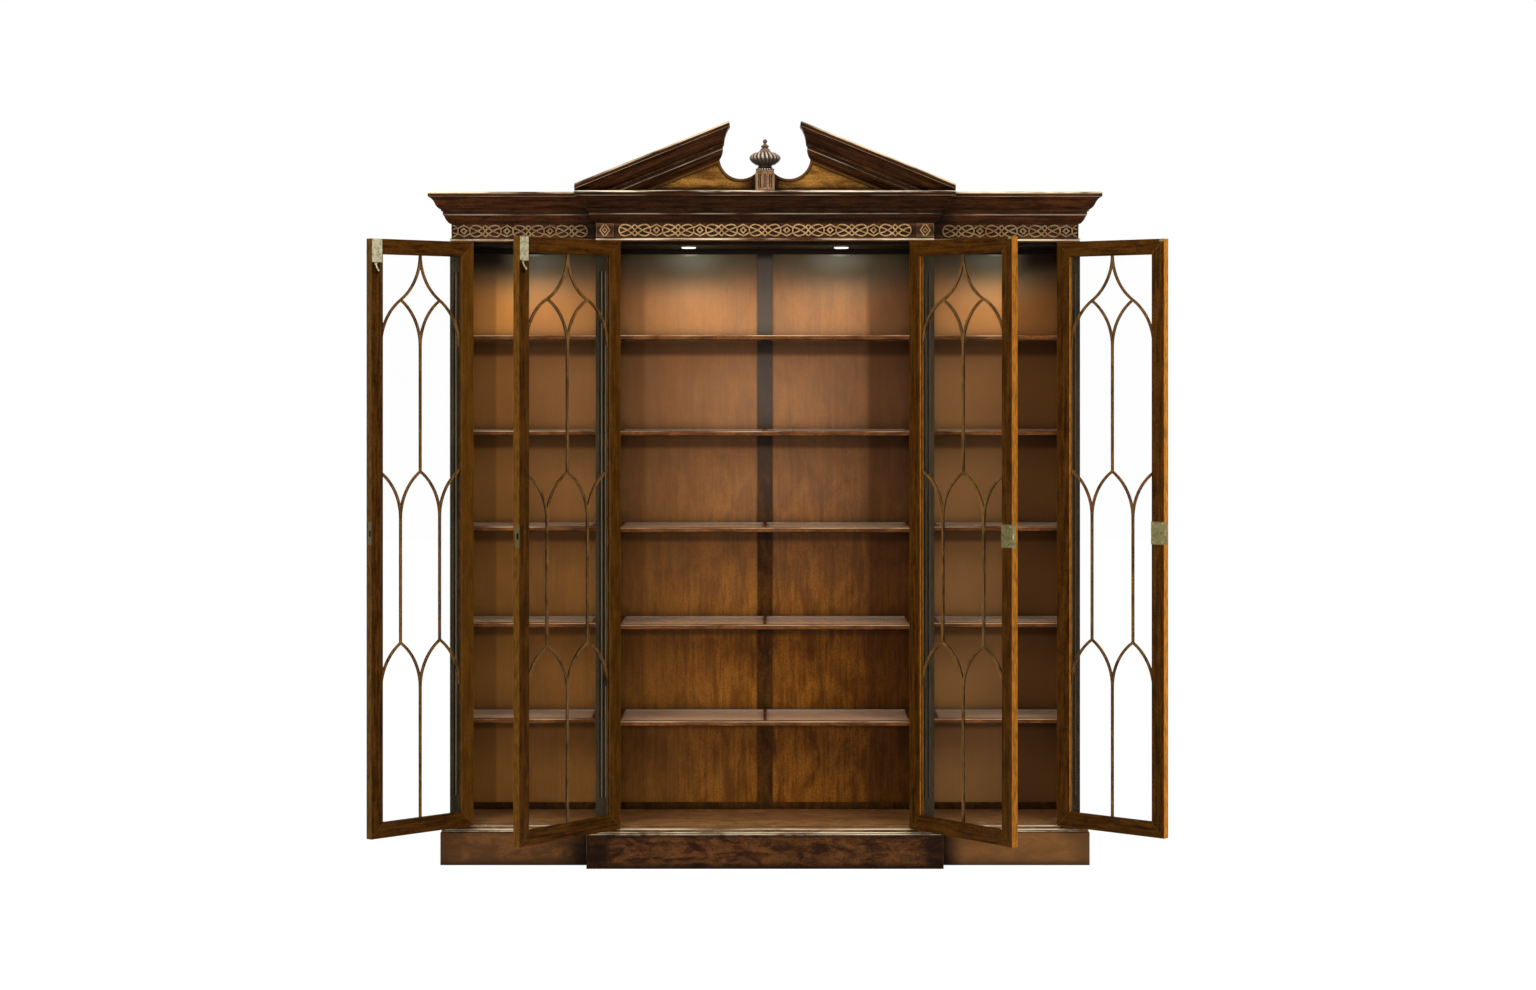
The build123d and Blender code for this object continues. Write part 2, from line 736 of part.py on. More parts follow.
def place_door(name, pieces, pin_x, face_y, angle, mirrored):
    """Hang a door on its pin, swing it open and write its nodes."""
    pin_y = face_y - hinge_knuckle - hinge_face_gap
    to_pin = Pos(door_gap / 2, hinge_knuckle + hinge_face_gap, 0)
    swung = Pos(-pin_x, pin_y, 0) * Rot(0, 0, -angle)
    placed = {node: [swung * to_pin * shape for shape in shapes]
              for node, shapes in pieces.items()}
    placed["hinge_leaves"] = [swung * hinge_leaf_solid(z, True) for z in hinge_heights()]
    for node, shapes in placed.items():
        if mirrored:
            shapes = [mirror(shape, about=Plane.YZ) for shape in shapes]
        save(f"{name}_{node}", shapes)


centre_pin_x = centre_opening - door_gap / 2
wing_pin_x = wing_opening - door_gap / 2
centre_door_width = centre_opening - door_gap - door_gap / 2
wing_door_width = wing_opening - centre_half_width - 2 * door_gap
left_door("centre_left", centre_pin_x, centre_face_y, centre_door_width, centre_left_angle)
right_door("centre_right", centre_pin_x, centre_face_y, centre_door_width, centre_right_angle)
left_door("wing_left", wing_pin_x, wing_face_y, wing_door_width, wing_left_angle)
right_door("wing_right", wing_pin_x, wing_face_y, wing_door_width, wing_right_angle)

frame_leaves = []
for pin_x, face_y in ((centre_pin_x, centre_face_y), (wing_pin_x, wing_face_y)):
    pin_y = face_y - hinge_knuckle - hinge_face_gap
    frame_leaves += [Pos(-pin_x, pin_y, 0) * hinge_leaf_solid(z, False)
                     for z in hinge_heights()]
save("hinge_frame_leaves", both_sides(frame_leaves))


# ------------------------------------------------------------------ uprights
def pilaster(inner_x, face_y):
    """Fluted pilaster on the right, with recesses for three hinge leaves."""
    post = block(inner_x, inner_x + pilaster_width, face_y, face_y + pilaster_thickness,
                 plinth_height, head_z)
    for z in hinge_heights():
        post -= block(inner_x, inner_x + hinge_leaf, face_y, face_y + hinge_leaf_depth,
                      z - hinge_height / 2, z + hinge_height / 2)
    foot = door_foot + flute_foot_margin
    top = door_top - flute_top_margin
    axis_y = face_y + flute_depth - flute_radius
    for index in range(flute_count):
        x = inner_x + pilaster_width / 2 + (index - (flute_count - 1) / 2) * flute_pitch
        post -= Pos(x, axis_y, foot) * Cylinder(
            flute_radius, top - foot, align=(Align.CENTER, Align.CENTER, Align.MIN))
        for z in (foot, top):
            post -= Pos(x, axis_y, z) * Sphere(flute_radius)
    return post


def partition_skins():
    """The two boards of the right pier, behind its pilaster."""
    front = centre_face_y + pilaster_thickness
    inner = block(centre_opening, centre_opening + side_thickness, front, back_y,
                  plinth_height, head_z)
    outer = block(centre_half_width - side_thickness, centre_half_width, front, back_y,
                  plinth_height, head_z)
    return [inner, outer]


def wing_bolt_mortise():
    """Room in the right pier for the bolt of the right wing's lock."""
    return block(centre_half_width - keep_depth, centre_half_width,
                 wing_face_y + bolt_from_face - keep_window_gap,
                 wing_face_y + bolt_from_face + bolt_thickness + keep_window_gap,
                 lock_height_z - bolt_height / 2 - keep_window_gap,
                 lock_height_z + bolt_height / 2 + keep_window_gap)


outer_side = block(wing_inner, wing_half_width, wing_face_y + pilaster_thickness, back_y,
                   plinth_height, head_z)
save("outer_sides", both_sides([outer_side]))
pier_boards = both_sides(partition_skins())
pier_boards[1] -= wing_bolt_mortise()
save("pier_boards", pier_boards)
save("pilasters", both_sides([pilaster(centre_opening, centre_face_y),
                              pilaster(wing_opening, wing_face_y)]))


# ------------------------------------------------------------------ back and ceiling
def back_parts():
    """Panels in each section and the stile and rails that hold them."""
    frame_y = panel_face_y - back_frame_relief
    panel_y = (panel_face_y, panel_face_y + back_panel_thickness)
    foot = floor_top + back_foot_rail_height
    head = ceiling_z - back_head_rail_height
    half_stile = back_stile_width / 2
    bays = [(half_stile, centre_opening), (centre_half_width, wing_inner)]
    stile = block(-half_stile, half_stile, frame_y, frame_y + back_frame_thickness,
                  plinth_height, head_z)
    panels, rails = [], []
    for x0, x1 in bays:
        panels.append(block(x0, x1, *panel_y, foot, head))
        rails.append(block(x0, x1, frame_y, frame_y + back_frame_thickness,
                           plinth_height, foot))
        rails.append(block(x0, x1, frame_y, frame_y + back_frame_thickness,
                           head, head_z))
    return both_sides(panels), [stile] + both_sides(rails)


def ceiling(x0, x1, face_y):
    return block(x0, x1, face_y + door_clear_y, panel_face_y - back_frame_relief,
                 ceiling_z, head_z)


back_panels, back_frame = back_parts()
save("back_panels", back_panels)
save("back_frame", back_frame)
wing_ceiling = ceiling(centre_half_width, wing_inner, wing_face_y)
save("ceiling_boards", [ceiling(-centre_opening, centre_opening, centre_face_y)]
     + both_sides([wing_ceiling]))


# ------------------------------------------------------------------ lamps
wing_lamp_x = (centre_half_width + wing_inner) / 2
centre_lamp_y = (centre_face_y + panel_face_y) / 2
wing_lamp_y = (wing_face_y + panel_face_y) / 2
rings, lenses = [], []
for x, y in ((centre_lamp_x, centre_lamp_y), (wing_lamp_x, wing_lamp_y)):
    place = Pos(x, y, ceiling_z - lamp_height)
    at_base = (Align.CENTER, Align.CENTER, Align.MIN)
    disc = Cylinder(lamp_radius, lamp_height, align=at_base)
    disc = chamfer(disc.edges().group_by(Axis.Z)[0], lamp_chamfer)
    rings.append(place * (disc - Cylinder(lamp_radius - lamp_rim, lamp_height,
                                          align=at_base)))
    lens = Cylinder(lamp_radius - lamp_rim - lamp_lens_gap,
                    lamp_height - lamp_lens_recess, align=at_base)
    lenses.append(place * Pos(0, 0, lamp_lens_recess) * lens)
save("lamp_rings", both_sides(rings))
save("lamp_lenses", both_sides(lenses))


# ------------------------------------------------------------------ shelves
def shelf_rails(x0, x1, front, rear, top, middle_x):
    """Front, back, end and middle rails of one framed shelf, and its glass panes."""
    low = top - shelf_thickness
    inner_front, inner_rear = front + shelf_front_rail, rear - shelf_back_rail
    edges = [x0 + shelf_end_rail, x1 - shelf_end_rail]
    rails = [block(x0, x1, front, inner_front, low, top),
             block(x0, x1, inner_rear, rear, low, top),
             block(x0, edges[0], inner_front, inner_rear, low, top),
             block(edges[1], x1, inner_front, inner_rear, low, top)]
    nose = [edge for edge in rails[0].edges().filter_by(Axis.X)
            if abs(edge.center().Y - front) < 0.01]
    rails[0] = fillet(nose, shelf_nosing)
    spans = [tuple(edges)]
    if middle_x is not None:
        half = shelf_middle_rail / 2
        rails.append(block(middle_x - half, middle_x + half, inner_front, inner_rear,
                           low, top))
        spans = [(edges[0], middle_x - half), (middle_x + half, edges[1])]
    lap = shelf_pane_lap
    seat = top - shelf_pane_thickness
    panes = []
    for near, far in spans:
        recess = block(near - lap, far + lap, inner_front - lap, inner_rear + lap,
                       seat, top)
        rails = [rail - recess for rail in rails]
        panes.append(block(near - lap + pane_gap, far + lap - pane_gap,
                           inner_front - lap + pane_gap, inner_rear + lap - pane_gap,
                           seat, top))
    return rails, panes


def brackets(x_wall, inward, front, rear, top):
    """Two brass angles on one wall, under the end of a shelf."""
    low = top - shelf_thickness
    pair = []
    for y in (front + bracket_inset, rear - bracket_inset):
        y0, y1 = y - bracket_width / 2, y + bracket_width / 2
        tab = sorted((x_wall, x_wall + inward * bracket_tab))
        flange = sorted((x_wall, x_wall + inward * bracket_thickness))
        pair.append(block(*tab, y0, y1, low - bracket_thickness, low)
                    + block(*flange, y0, y1, low - bracket_drop, low))
    return pair


shelf_rear = panel_face_y - back_frame_relief - shelf_back_gap
centre_front = centre_face_y + shelf_setback
wing_front = wing_face_y + shelf_setback
centre_rails, wing_rails, panes, shelf_brackets = [], [], [], []
for top in shelf_tops:
    end = centre_opening - shelf_side_gap
    rails, glass = shelf_rails(-end, end, centre_front, shelf_rear, top, 0.0)
    centre_rails += rails
    panes += glass
    rails, glass = shelf_rails(centre_half_width + shelf_side_gap,
                               wing_inner - shelf_side_gap, wing_front, shelf_rear,
                               top, None)
    wing_rails += both_sides(rails)
    panes += both_sides(glass)
    shelf_brackets += both_sides(
        brackets(centre_opening, -1, centre_front, shelf_rear, top)
        + brackets(centre_half_width, 1, wing_front, shelf_rear, top)
        + brackets(wing_inner, -1, wing_front, shelf_rear, top))
save("centre_shelf_frames", centre_rails)
save("wing_shelf_frames", wing_rails)
save("shelf_panes", panes)
save("shelf_brackets", shelf_brackets)


# ------------------------------------------------------------------ frieze and cornice
def frieze_section():
    """Frieze board with an astragal bead along its foot."""
    back = -(frieze_setback + frieze_board)
    face = -frieze_setback
    bead_top = head_bead_height
    return outline((back, 0), (head_bead_projection - 2, 0),
                   ((head_bead_projection - 2, bead_top), 2.0),
                   (face, bead_top), (face, frieze_height), (back, frieze_height))


def cornice_section():
    """Cornice: hollow bed mould, fillet, step, cyma and top fillet."""
    crown_foot = cornice_height - crown_height
    bed_reach = bed_cove_reach + bed_fillet
    return outline((-cornice_body, 0), (crown_relief, 0),
                   ((bed_cove_reach, bed_cove_height), -bed_cove_reach / 8),
                   (bed_reach, bed_cove_height), (bed_reach, corona_foot),
                   (corona_reach, corona_foot), (corona_reach, corona_foot + corona_height),
                   ((cornice_projection - cyma_start, cornice_height - cyma_drop),
                    -cyma_start / 7),
                   ((cornice_projection - crown_relief, crown_foot), cyma_start / 8.5),
                   (cornice_projection, crown_foot), (cornice_projection, cornice_height),
                   (-cornice_body, cornice_height))


frieze_inner = frieze_setback + frieze_board + 1
frieze_centre = centre_runs(frieze_section(), head_z, frieze_inner, head_bead_projection + 2)
frieze_wing = wing_runs(frieze_section(), head_z, frieze_inner, head_bead_projection + 2)
rod_holes = []
for free_x, face_y in ((-door_gap / 2, centre_face_y),
                       (-centre_half_width - door_gap, wing_face_y)):
    rod_x = free_x - rod_inset
    rod_holes.append(Pos(rod_x, face_y + rod_from_face, head_z) * Cylinder(
        rod_radius + keep_gap, rod_throw, align=(Align.CENTER, Align.CENTER, Align.MIN)))
frieze_centre[1] -= rod_holes[0]
frieze_left = [mirror(run, about=Plane.YZ) for run in frieze_wing]
frieze_left[1] -= rod_holes[1]
save("frieze", frieze_centre + frieze_wing + frieze_left)

block_middle = centre_half_width - pilaster_width / 2
fret_z = head_z + head_bead_height + (frieze_height - head_bead_height) / 2
fret_y = centre_face_y + frieze_setback


def ring(shape, width):
    """Strand that follows the outline of a shape."""
    outer = offset(shape, width / 2, kind=Kind.INTERSECTION)
    return outer - offset(shape, -width / 2, kind=Kind.INTERSECTION)


def rhombus(half_x, half_z):
    return Polygon((half_x, 0), (0, half_z), (-half_x, 0), (0, -half_z), align=None)


def fused(faces):
    """One sketch from overlapping faces."""
    whole = faces[0]
    for face in faces[1:]:
        whole += face
    return whole


def four_ways(face):
    """A face and its three reflections about the unit's own axes."""
    pair = [face, mirror(face, about=Plane.YZ)]
    return pair + [mirror(one, about=Plane.XZ) for one in pair]


def loop_pair():
    """Two interlaced loops, tied by strands that cross inside each of them."""
    high = (fret_height - fret_strand) / 2
    eye_x = (fret_loop_length - fret_strand) / 2 - high
    end = trace(ThreePointArc((eye_x, high), (eye_x + high, 0), (eye_x, -high)),
                fret_strand)
    waist = ThreePointArc((0, 0), (eye_x * fret_waist[0], high * fret_waist[1]),
                          (eye_x, high))
    tie = ThreePointArc((0, high), (eye_x * fret_tie[0], high * fret_tie[1]),
                        (eye_x + high * fret_tie_end[0], high * fret_tie_end[1]))
    return fused(four_ways(trace(waist, fret_strand)) + four_ways(trace(tie, fret_strand))
                 + [end, mirror(end, about=Plane.YZ)])


def link():
    """Lozenge between two pairs of loops, under slanting strands that tie them."""
    high = (fret_height - fret_strand) / 2
    reach = (fret_pitch - fret_loop_length) / 2 + fret_strand
    ties = ring(rhombus(reach * fret_tie_spread, high), fret_strand)
    ties &= Rectangle(2 * reach, 4 * high)
    return [ring(rhombus(fret_lozenge, fret_lozenge), fret_strand)] + list(ties.faces())


def fret_run(pairs, first, left, right):
    """Fret in X and Z about the middle of its first pair, cut off at left and right."""
    pieces = [Pos(first + index * fret_pitch) * loop_pair() for index in range(pairs)]
    links = pairs if right is not None else pairs - 1
    for index in range(links):
        place = Pos(first + (index + 0.5) * fret_pitch)
        pieces += [place * face for face in link()]
    if right is not None:
        partial = Pos(first + pairs * fret_pitch) * loop_pair()
        visible = Rectangle(right - left, 2 * fret_height)
        pieces.append(partial & Pos((left + right) / 2) * visible)
    return fused(pieces)


half_run = (centre_fret_pairs - 1) / 2 * fret_pitch
centre_fret = Pos(0, fret_z) * fret_run(centre_fret_pairs, -half_run, None, None)
wing_first = centre_half_width + wing_fret_start + fret_loop_length / 2
wing_fret = Pos(0, fret_z) * fret_run(wing_fret_pairs, wing_first, centre_half_width,
                                      wing_half_width - wing_fret_margin)
wing_fret_y = wing_face_y + frieze_setback
square = block(block_middle - block_width / 2, block_middle + block_width / 2,
               fret_y - block_relief, fret_y, fret_z - block_height / 2,
               fret_z + block_height / 2)
square = chamfer(square.faces().sort_by(Axis.Y)[0].edges(), block_chamfer)
block_ring = ring(rhombus(block_lozenge * block_motif_spread[0],
                          block_lozenge * block_motif_spread[1]), block_strand)
block_ring &= Rectangle(block_width, block_height - 2 * block_motif_margin)
motif = [ring(rhombus(block_lozenge, block_lozenge), block_strand)] + list(block_ring.faces())
motif_y = fret_y - block_relief
for face in motif:
    square += upright(Pos(block_middle, fret_z) * face, motif_y - block_motif_relief, motif_y)
save("frieze_frets", [upright(centre_fret, fret_y - fret_relief, fret_y)]
     + both_sides([upright(wing_fret, wing_fret_y - fret_relief, wing_fret_y),
                   square]))

save("cornice_centre", centre_runs(cornice_section(), frieze_top, cornice_body + 1,
                                   cornice_projection + 1))
save("cornice_wings", both_sides(wing_runs(cornice_section(), frieze_top,
                                           cornice_body + 1, cornice_projection + 1)))

dust_x = centre_half_width - frieze_setback - frieze_board
dust_outer_x = wing_half_width - frieze_setback - frieze_board
dust_front = centre_face_y + frieze_setback + frieze_board
dust_wing_front = wing_face_y + frieze_setback + frieze_board
dust_low = frieze_top - dust_board_thickness
save("dust_boards",
     [block(-dust_x, dust_x, dust_front, back_y, dust_low, frieze_top),
      block(-dust_outer_x, dust_outer_x, back_y - head_rail_thickness, back_y,
            head_z, dust_low)]
     + both_sides([block(dust_x, dust_outer_x, dust_wing_front, back_y, dust_low,
                         frieze_top)]))


# ------------------------------------------------------------------ pediment
slope = math.tan(math.radians(rake_angle))
rake_rise = cornice_height / math.cos(math.radians(rake_angle))
cornice_end_x = centre_half_width + cornice_projection


def rake_bottom(x):
    """Height of the raking cornice's underside at x."""
    return rake_tip_z - (x - rake_tip_x) * slope - rake_rise


def raking_cornice():
    """Right-hand raking cornice with a moulded return at its inner end."""
    angle = math.radians(rake_angle)
    uphill = Vector(-math.cos(angle), 0, math.sin(angle))
    reach = cornice_end_x - rake_tip_x
    start = Vector(cornice_end_x + reach, 0, rake_bottom(cornice_end_x + reach))
    plane = Plane(origin=start + Vector(0, centre_face_y, 0), x_dir=(0, -1, 0),
                  z_dir=uphill)
    bar = extrude(plane * cornice_section(), amount=3 * reach)
    tip_x, tip_z = rake_tip_x, rake_tip_z
    heel_x = scoop_centre_x + scoop_radius
    heel_z = rake_bottom(heel_x)
    side_x = heel_x - return_set_back
    step_foot = heel_z + return_fillet_foot
    end_z = rake_tip_z - (cornice_end_x - rake_tip_x) * slope
    foot_x = rake_tip_x + (rake_tip_z - rake_rise - cornice_top) / slope
    elevation = outline(
        (foot_x, cornice_top), (heel_x, heel_z),
        ((side_x, heel_z + return_cyma_foot), bed_cove_reach / 8), (side_x, step_foot),
        (side_x - return_step, step_foot + return_step_rise),
        ((tip_x + 1, tip_z - return_crown), -return_step),
        (tip_x - return_crown_reach, tip_z - return_crown_step), (tip_x, tip_z),
        (cornice_end_x, end_z), (cornice_end_x, cornice_top))
    return bar & upright(elevation, centre_face_y - cornice_projection - 1,
                         centre_face_y + cornice_body + 1)


def tympanum_outline():
    """Right half of the tympanum: raking top, scoop and a square end at the middle."""
    heel_x = scoop_centre_x + math.sqrt(
        scoop_radius ** 2 - (scoop_centre_z - rake_bottom(scoop_centre_x + scoop_radius)) ** 2)
    inner_z = scoop_centre_z - math.sqrt(
        scoop_radius ** 2 - (scoop_centre_x - pedestal_half_width) ** 2)
    foot_x = rake_tip_x + (rake_tip_z - rake_rise - cornice_top) / slope
    return make_face([
        Line((0, cornice_top), (foot_x, cornice_top)),
        Line((foot_x, cornice_top), (heel_x, rake_bottom(heel_x))),
        ThreePointArc((heel_x, rake_bottom(heel_x)),
                      (scoop_centre_x, scoop_centre_z - scoop_radius),
                      (pedestal_half_width, inner_z)),
        Line((pedestal_half_width, inner_z), (0, inner_z)),
        Line((0, inner_z), (0, cornice_top))])


def tympanum():
    """Board with a planted rim round each panel."""
    front = centre_face_y + frieze_setback
    half = tympanum_outline()
    board = upright(half, front, front + tympanum_thickness)
    board += mirror(board, about=Plane.YZ)
    beside = Pos(pedestal_half_width + centre_half_width, cornice_top)
    panel = half & beside * Rectangle(2 * centre_half_width, 2 * centre_half_width)
    rim = panel - offset(panel, -tympanum_rim)
    rim_solid = upright(rim, front - tympanum_rim_relief, front)
    return board + rim_solid + mirror(rim_solid, about=Plane.YZ)


urn_y = centre_face_y + frieze_setback - tympanum_rim_relief - pedestal_depth / 2
pedestal_top = cornice_top + pedestal_height


def pedestal():
    """Square post with three round-topped flutes on its face."""
    front = urn_y - pedestal_depth / 2
    post = block(-pedestal_half_width, pedestal_half_width, front,
                 centre_face_y + frieze_setback, cornice_top, pedestal_top)
    low, high = cornice_top + pedestal_flute_foot, pedestal_top - pedestal_flute_top
    axis_y = front - pedestal_flute_radius * pedestal_flute_set
    for index in (-1, 0, 1):
        x = index * pedestal_flute_pitch
        post -= Pos(x, axis_y, low) * Cylinder(
            pedestal_flute_radius, high - low,
            align=(Align.CENTER, Align.CENTER, Align.MIN))
        post -= Pos(x, axis_y, high) * Sphere(pedestal_flute_radius)
    return post


def urn():
    """Turned urn: beaded foot, bowl, domed lid, disc and bud."""
    foot, stem = urn_foot, urn_stem
    stem_top = (stem[0], stem[1] + urn_stem_height)
    disc_foot = urn_disc
    disc_top = (urn_disc_top, urn_disc[1] + urn_disc_height)
    profile = make_face([
        Line((0, 0), (foot[0], 0)), bowed((foot[0], 0), foot, 3.0),
        Line(foot, (urn_foot_fillet, foot[1])),
        bowed((urn_foot_fillet, foot[1]), stem, 1.6),
        bowed(stem, stem_top, -1.0),
        bowed(stem_top, urn_bowl, 5.5),
        bowed(urn_bowl, urn_rim, 4.0),
        bowed(urn_rim, urn_lid, -1.5),
        bowed(urn_lid, urn_neck, -3.0),
        Line(urn_neck, disc_foot), bowed(disc_foot, disc_top, 1.2),
        bowed(disc_top, urn_waist, -1.5), bowed(urn_waist, urn_bud, 1.5),
        Line(urn_bud, (0, urn_height)), Line((0, urn_height), (0, 0))])
    return Pos(0, urn_y, pedestal_top) * revolve(Plane.XZ * profile, Axis.Z)


rake = raking_cornice()
save("rake_right", rake)
save("rake_left", mirror(rake, about=Plane.YZ))
save("tympanum", tympanum())
save("pedestal", pedestal())
save("urn", urn())
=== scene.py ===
# %% [markdown]
# # A breakfront bookcase, dressed in mahogany, glass and brass
#
# A breakfront bookcase is a wide bookcase whose middle stands forward of its two
# wings.  This one has four glazed doors, an open pediment with an urn in its gap,
# and small lamps in the ceiling.  The solids come from the CAD model and already
# have their real shapes, so this lesson mostly gives them finishes: polished wood
# with its grain running the right way, glass, brass and lamplight.

import json
import math

import bmesh
import bpy
from mathutils import Matrix, Vector


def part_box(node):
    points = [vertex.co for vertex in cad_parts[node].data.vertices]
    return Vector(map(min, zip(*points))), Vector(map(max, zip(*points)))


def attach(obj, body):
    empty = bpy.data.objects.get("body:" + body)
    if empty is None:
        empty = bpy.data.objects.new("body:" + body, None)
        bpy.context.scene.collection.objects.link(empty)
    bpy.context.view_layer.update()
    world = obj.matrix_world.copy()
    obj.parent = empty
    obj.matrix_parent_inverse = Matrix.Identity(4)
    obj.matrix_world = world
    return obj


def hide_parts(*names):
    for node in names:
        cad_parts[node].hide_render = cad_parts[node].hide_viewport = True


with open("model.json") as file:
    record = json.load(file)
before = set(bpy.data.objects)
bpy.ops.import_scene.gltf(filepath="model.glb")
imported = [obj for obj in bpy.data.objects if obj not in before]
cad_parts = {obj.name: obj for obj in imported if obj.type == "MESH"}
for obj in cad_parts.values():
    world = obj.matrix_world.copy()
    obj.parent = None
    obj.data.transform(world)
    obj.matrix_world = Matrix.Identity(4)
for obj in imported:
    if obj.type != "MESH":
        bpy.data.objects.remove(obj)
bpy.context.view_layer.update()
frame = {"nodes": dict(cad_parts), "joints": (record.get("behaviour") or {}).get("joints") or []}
nodes = frame["nodes"]
joints = {joint["name"]: joint for joint in frame["joints"]}

# %% [markdown]
# ## The camera
#
# A camera for furniture stands level, so that uprights stay upright.  To look at a
# tall object from eye height without tilting, the lens is shifted down instead, as
# on an architect's view camera.  The long lens keeps the wings from looking larger
# than the middle.

# %% Place a level camera with a shifted lens
def add_object(name, data):
    """A new object in the scene."""
    thing = bpy.data.objects.new(name, data)
    bpy.context.scene.collection.objects.link(thing)
    return thing


# in pixels
frame_width, frame_height = 1536, 990
focal_length_px = 3020.0
horizon_row = 366.0
middle_column = 765.0
# in metres, and the sensor in millimetres
eye_height = 1.785
face_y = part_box("pilasters")[0].y
camera_distance = 10.75
sensor_width = 36.0

camera_data = bpy.data.cameras.new("camera")
camera_data.sensor_width = sensor_width
camera_data.lens = sensor_width * focal_length_px / frame_width
camera_data.shift_x = (frame_width / 2 - middle_column) / frame_width
camera_data.shift_y = (horizon_row - frame_height / 2) / frame_width
camera_data.clip_end = 60.0
camera = add_object("camera", camera_data)
camera.location = (0.0, face_y - camera_distance, eye_height)
camera.rotation_euler = (math.radians(90), 0, 0)
bpy.context.scene.camera = camera
bpy.context.scene.view_settings.view_transform = "Standard"
print("lens", round(camera_data.lens, 2), "mm")

# %% [markdown]
# ## Floor, sky and lamps
#
# The object stands on a plain white floor in an even white room.  Camera rays see
# the room as pure white, while the light that falls on the wood is softer, so the
# colours come out about as they are written.  Two large softboxes in front give the
# mouldings their highlights, and a third one lights the pediment from above.

# %% Helpers for shaders
def feed(tree, node, inputs):
    """Sets a node's inputs, by name or number, to plain values or to other sockets."""
    for key, value in inputs.items():
        socket = node.inputs[key]
        if isinstance(value, bpy.types.NodeSocket):
            tree.links.new(value, socket)
        elif socket.type == "RGBA":
            socket.default_value = (*value, 1.0)
        else:
            socket.default_value = value


def shader(tree, kind, inputs=None, **settings):
    """A new node; settings are its properties, such as operation."""
    node = tree.nodes.new(kind)
    for name, value in settings.items():
        setattr(node, name, value)
    feed(tree, node, inputs or {})
    return node


def math_node(tree, operation, *values):
    """A Math node on sockets or numbers; returns its output."""
    node = shader(tree, "ShaderNodeMath", dict(enumerate(values)), operation=operation)
    return node.outputs[0]


def times(tree, mask, amount):
    """A mask made weaker by a number or by another mask."""
    return math_node(tree, "MULTIPLY", mask, amount)


def strongest(tree, first, *others):
    """The strongest of several masks at each place."""
    for mask in others:
        first = math_node(tree, "MAXIMUM", first, mask)
    return first


print("first helpers ready")

# %% A white floor that keeps a soft shadow
def seen_directly(tree):
    """1 for rays that come from the eye, a mirror or through glass, else 0."""
    rays = shader(tree, "ShaderNodeLightPath").outputs
    return strongest(tree, rays["Is Camera Ray"], rays["Is Glossy Ray"],
                     rays["Is Transmission Ray"])


def show_mix(tree, factor, under, over, output_kind):
    """Mixes two shaders and makes the mix what the tree shows."""
    mix = shader(tree, "ShaderNodeMixShader",
                 {"Fac": factor, 1: under.outputs[0], 2: over.outputs[0]})
    shader(tree, output_kind, {"Surface": mix.outputs[0]})


floor_size = 40.0
floor_glow = 1.22
glow_share = 0.72
half = floor_size / 2
floor_mesh = bpy.data.meshes.new("floor")
floor_mesh.from_pydata([(-half, -half, 0), (half, -half, 0), (half, half, 0),
                        (-half, half, 0)], [], [(0, 1, 2, 3)])
floor = add_object("floor", floor_mesh)
floor.location.z = -0.001

floor_paint = bpy.data.materials.new("white_floor")
floor_paint.use_nodes = True
tree = floor_paint.node_tree
tree.nodes.clear()
matt = shader(tree, "ShaderNodeBsdfDiffuse", {"Color": (0.9, 0.9, 0.9)})
glow = shader(tree, "ShaderNodeEmission", {"Strength": floor_glow})
show_mix(tree, times(tree, seen_directly(tree), glow_share), matt, glow,
         "ShaderNodeOutputMaterial")
floor_mesh.materials.append(floor_paint)
print("floor", floor_size, "m square")

# %% A white sky, softer for the light than for the eye
sky_strength = 0.55
world = bpy.data.worlds.new("sky")
bpy.context.scene.world = world
world.use_nodes = True
tree = world.node_tree
tree.nodes.clear()
soft = shader(tree, "ShaderNodeBackground",
              {"Color": (0.96, 0.98, 1.0), "Strength": sky_strength})
white = shader(tree, "ShaderNodeBackground", {"Color": (1, 1, 1), "Strength": 1.0})
show_mix(tree, seen_directly(tree), soft, white, "ShaderNodeOutputWorld")
print("sky", sky_strength)


# %% Three softboxes
def softbox(name, place, aim, width, height, watts):
    """A rectangular area lamp that looks at a point."""
    data = bpy.data.lights.new(name, "AREA")
    data.shape = "RECTANGLE"
    data.size, data.size_y = width, height
    data.energy = watts
    lamp = add_object(name, data)
    lamp.location = place
    lamp.rotation_euler = (Vector(aim) - Vector(place)).to_track_quat("-Z", "Y").to_euler()


waist = (0, face_y, 1.3)
softbox("softbox_left", (-3.6, face_y - 5.2, 3.2), waist, 2.6, 2.2, 150)
softbox("softbox_right", (3.6, face_y - 5.2, 3.2), waist, 2.6, 2.2, 130)
softbox("softbox_top", (0, face_y - 1.5, 5.2), (0, 0, 1.5), 3.0, 1.5, 60)
print("three softboxes")

# %% [markdown]
# ## Polished wood
#
# Mahogany has long straight fibres, short dark pores, and a blotchy figure that
# polish brings out.  The grain always runs along a board's length, which is what
# makes joinery readable, so one function draws the wood and takes the direction of
# the grain.  The fibres are a noise squeezed across the board, and the figure is a
# broader noise that is squeezed less.
#
# Here a surface is also darker in its corners, partly where wax gathers and partly as
# painted shade, and paler on its edges, partly where dusters rub and partly as a painted
# highlight.  The Ambient Occlusion node finds the corners.
# The Bevel node finds the edges: there the rounded normal leaves the true one.

# %% Helpers for colours and masks
def smooth_step(tree, value, start, end):
    """0 before start and 1 after end, with a smooth change between them."""
    return shader(tree, "ShaderNodeMapRange",
                  {"Value": value, "From Min": start, "From Max": end},
                  interpolation_type="SMOOTHSTEP").outputs["Result"]


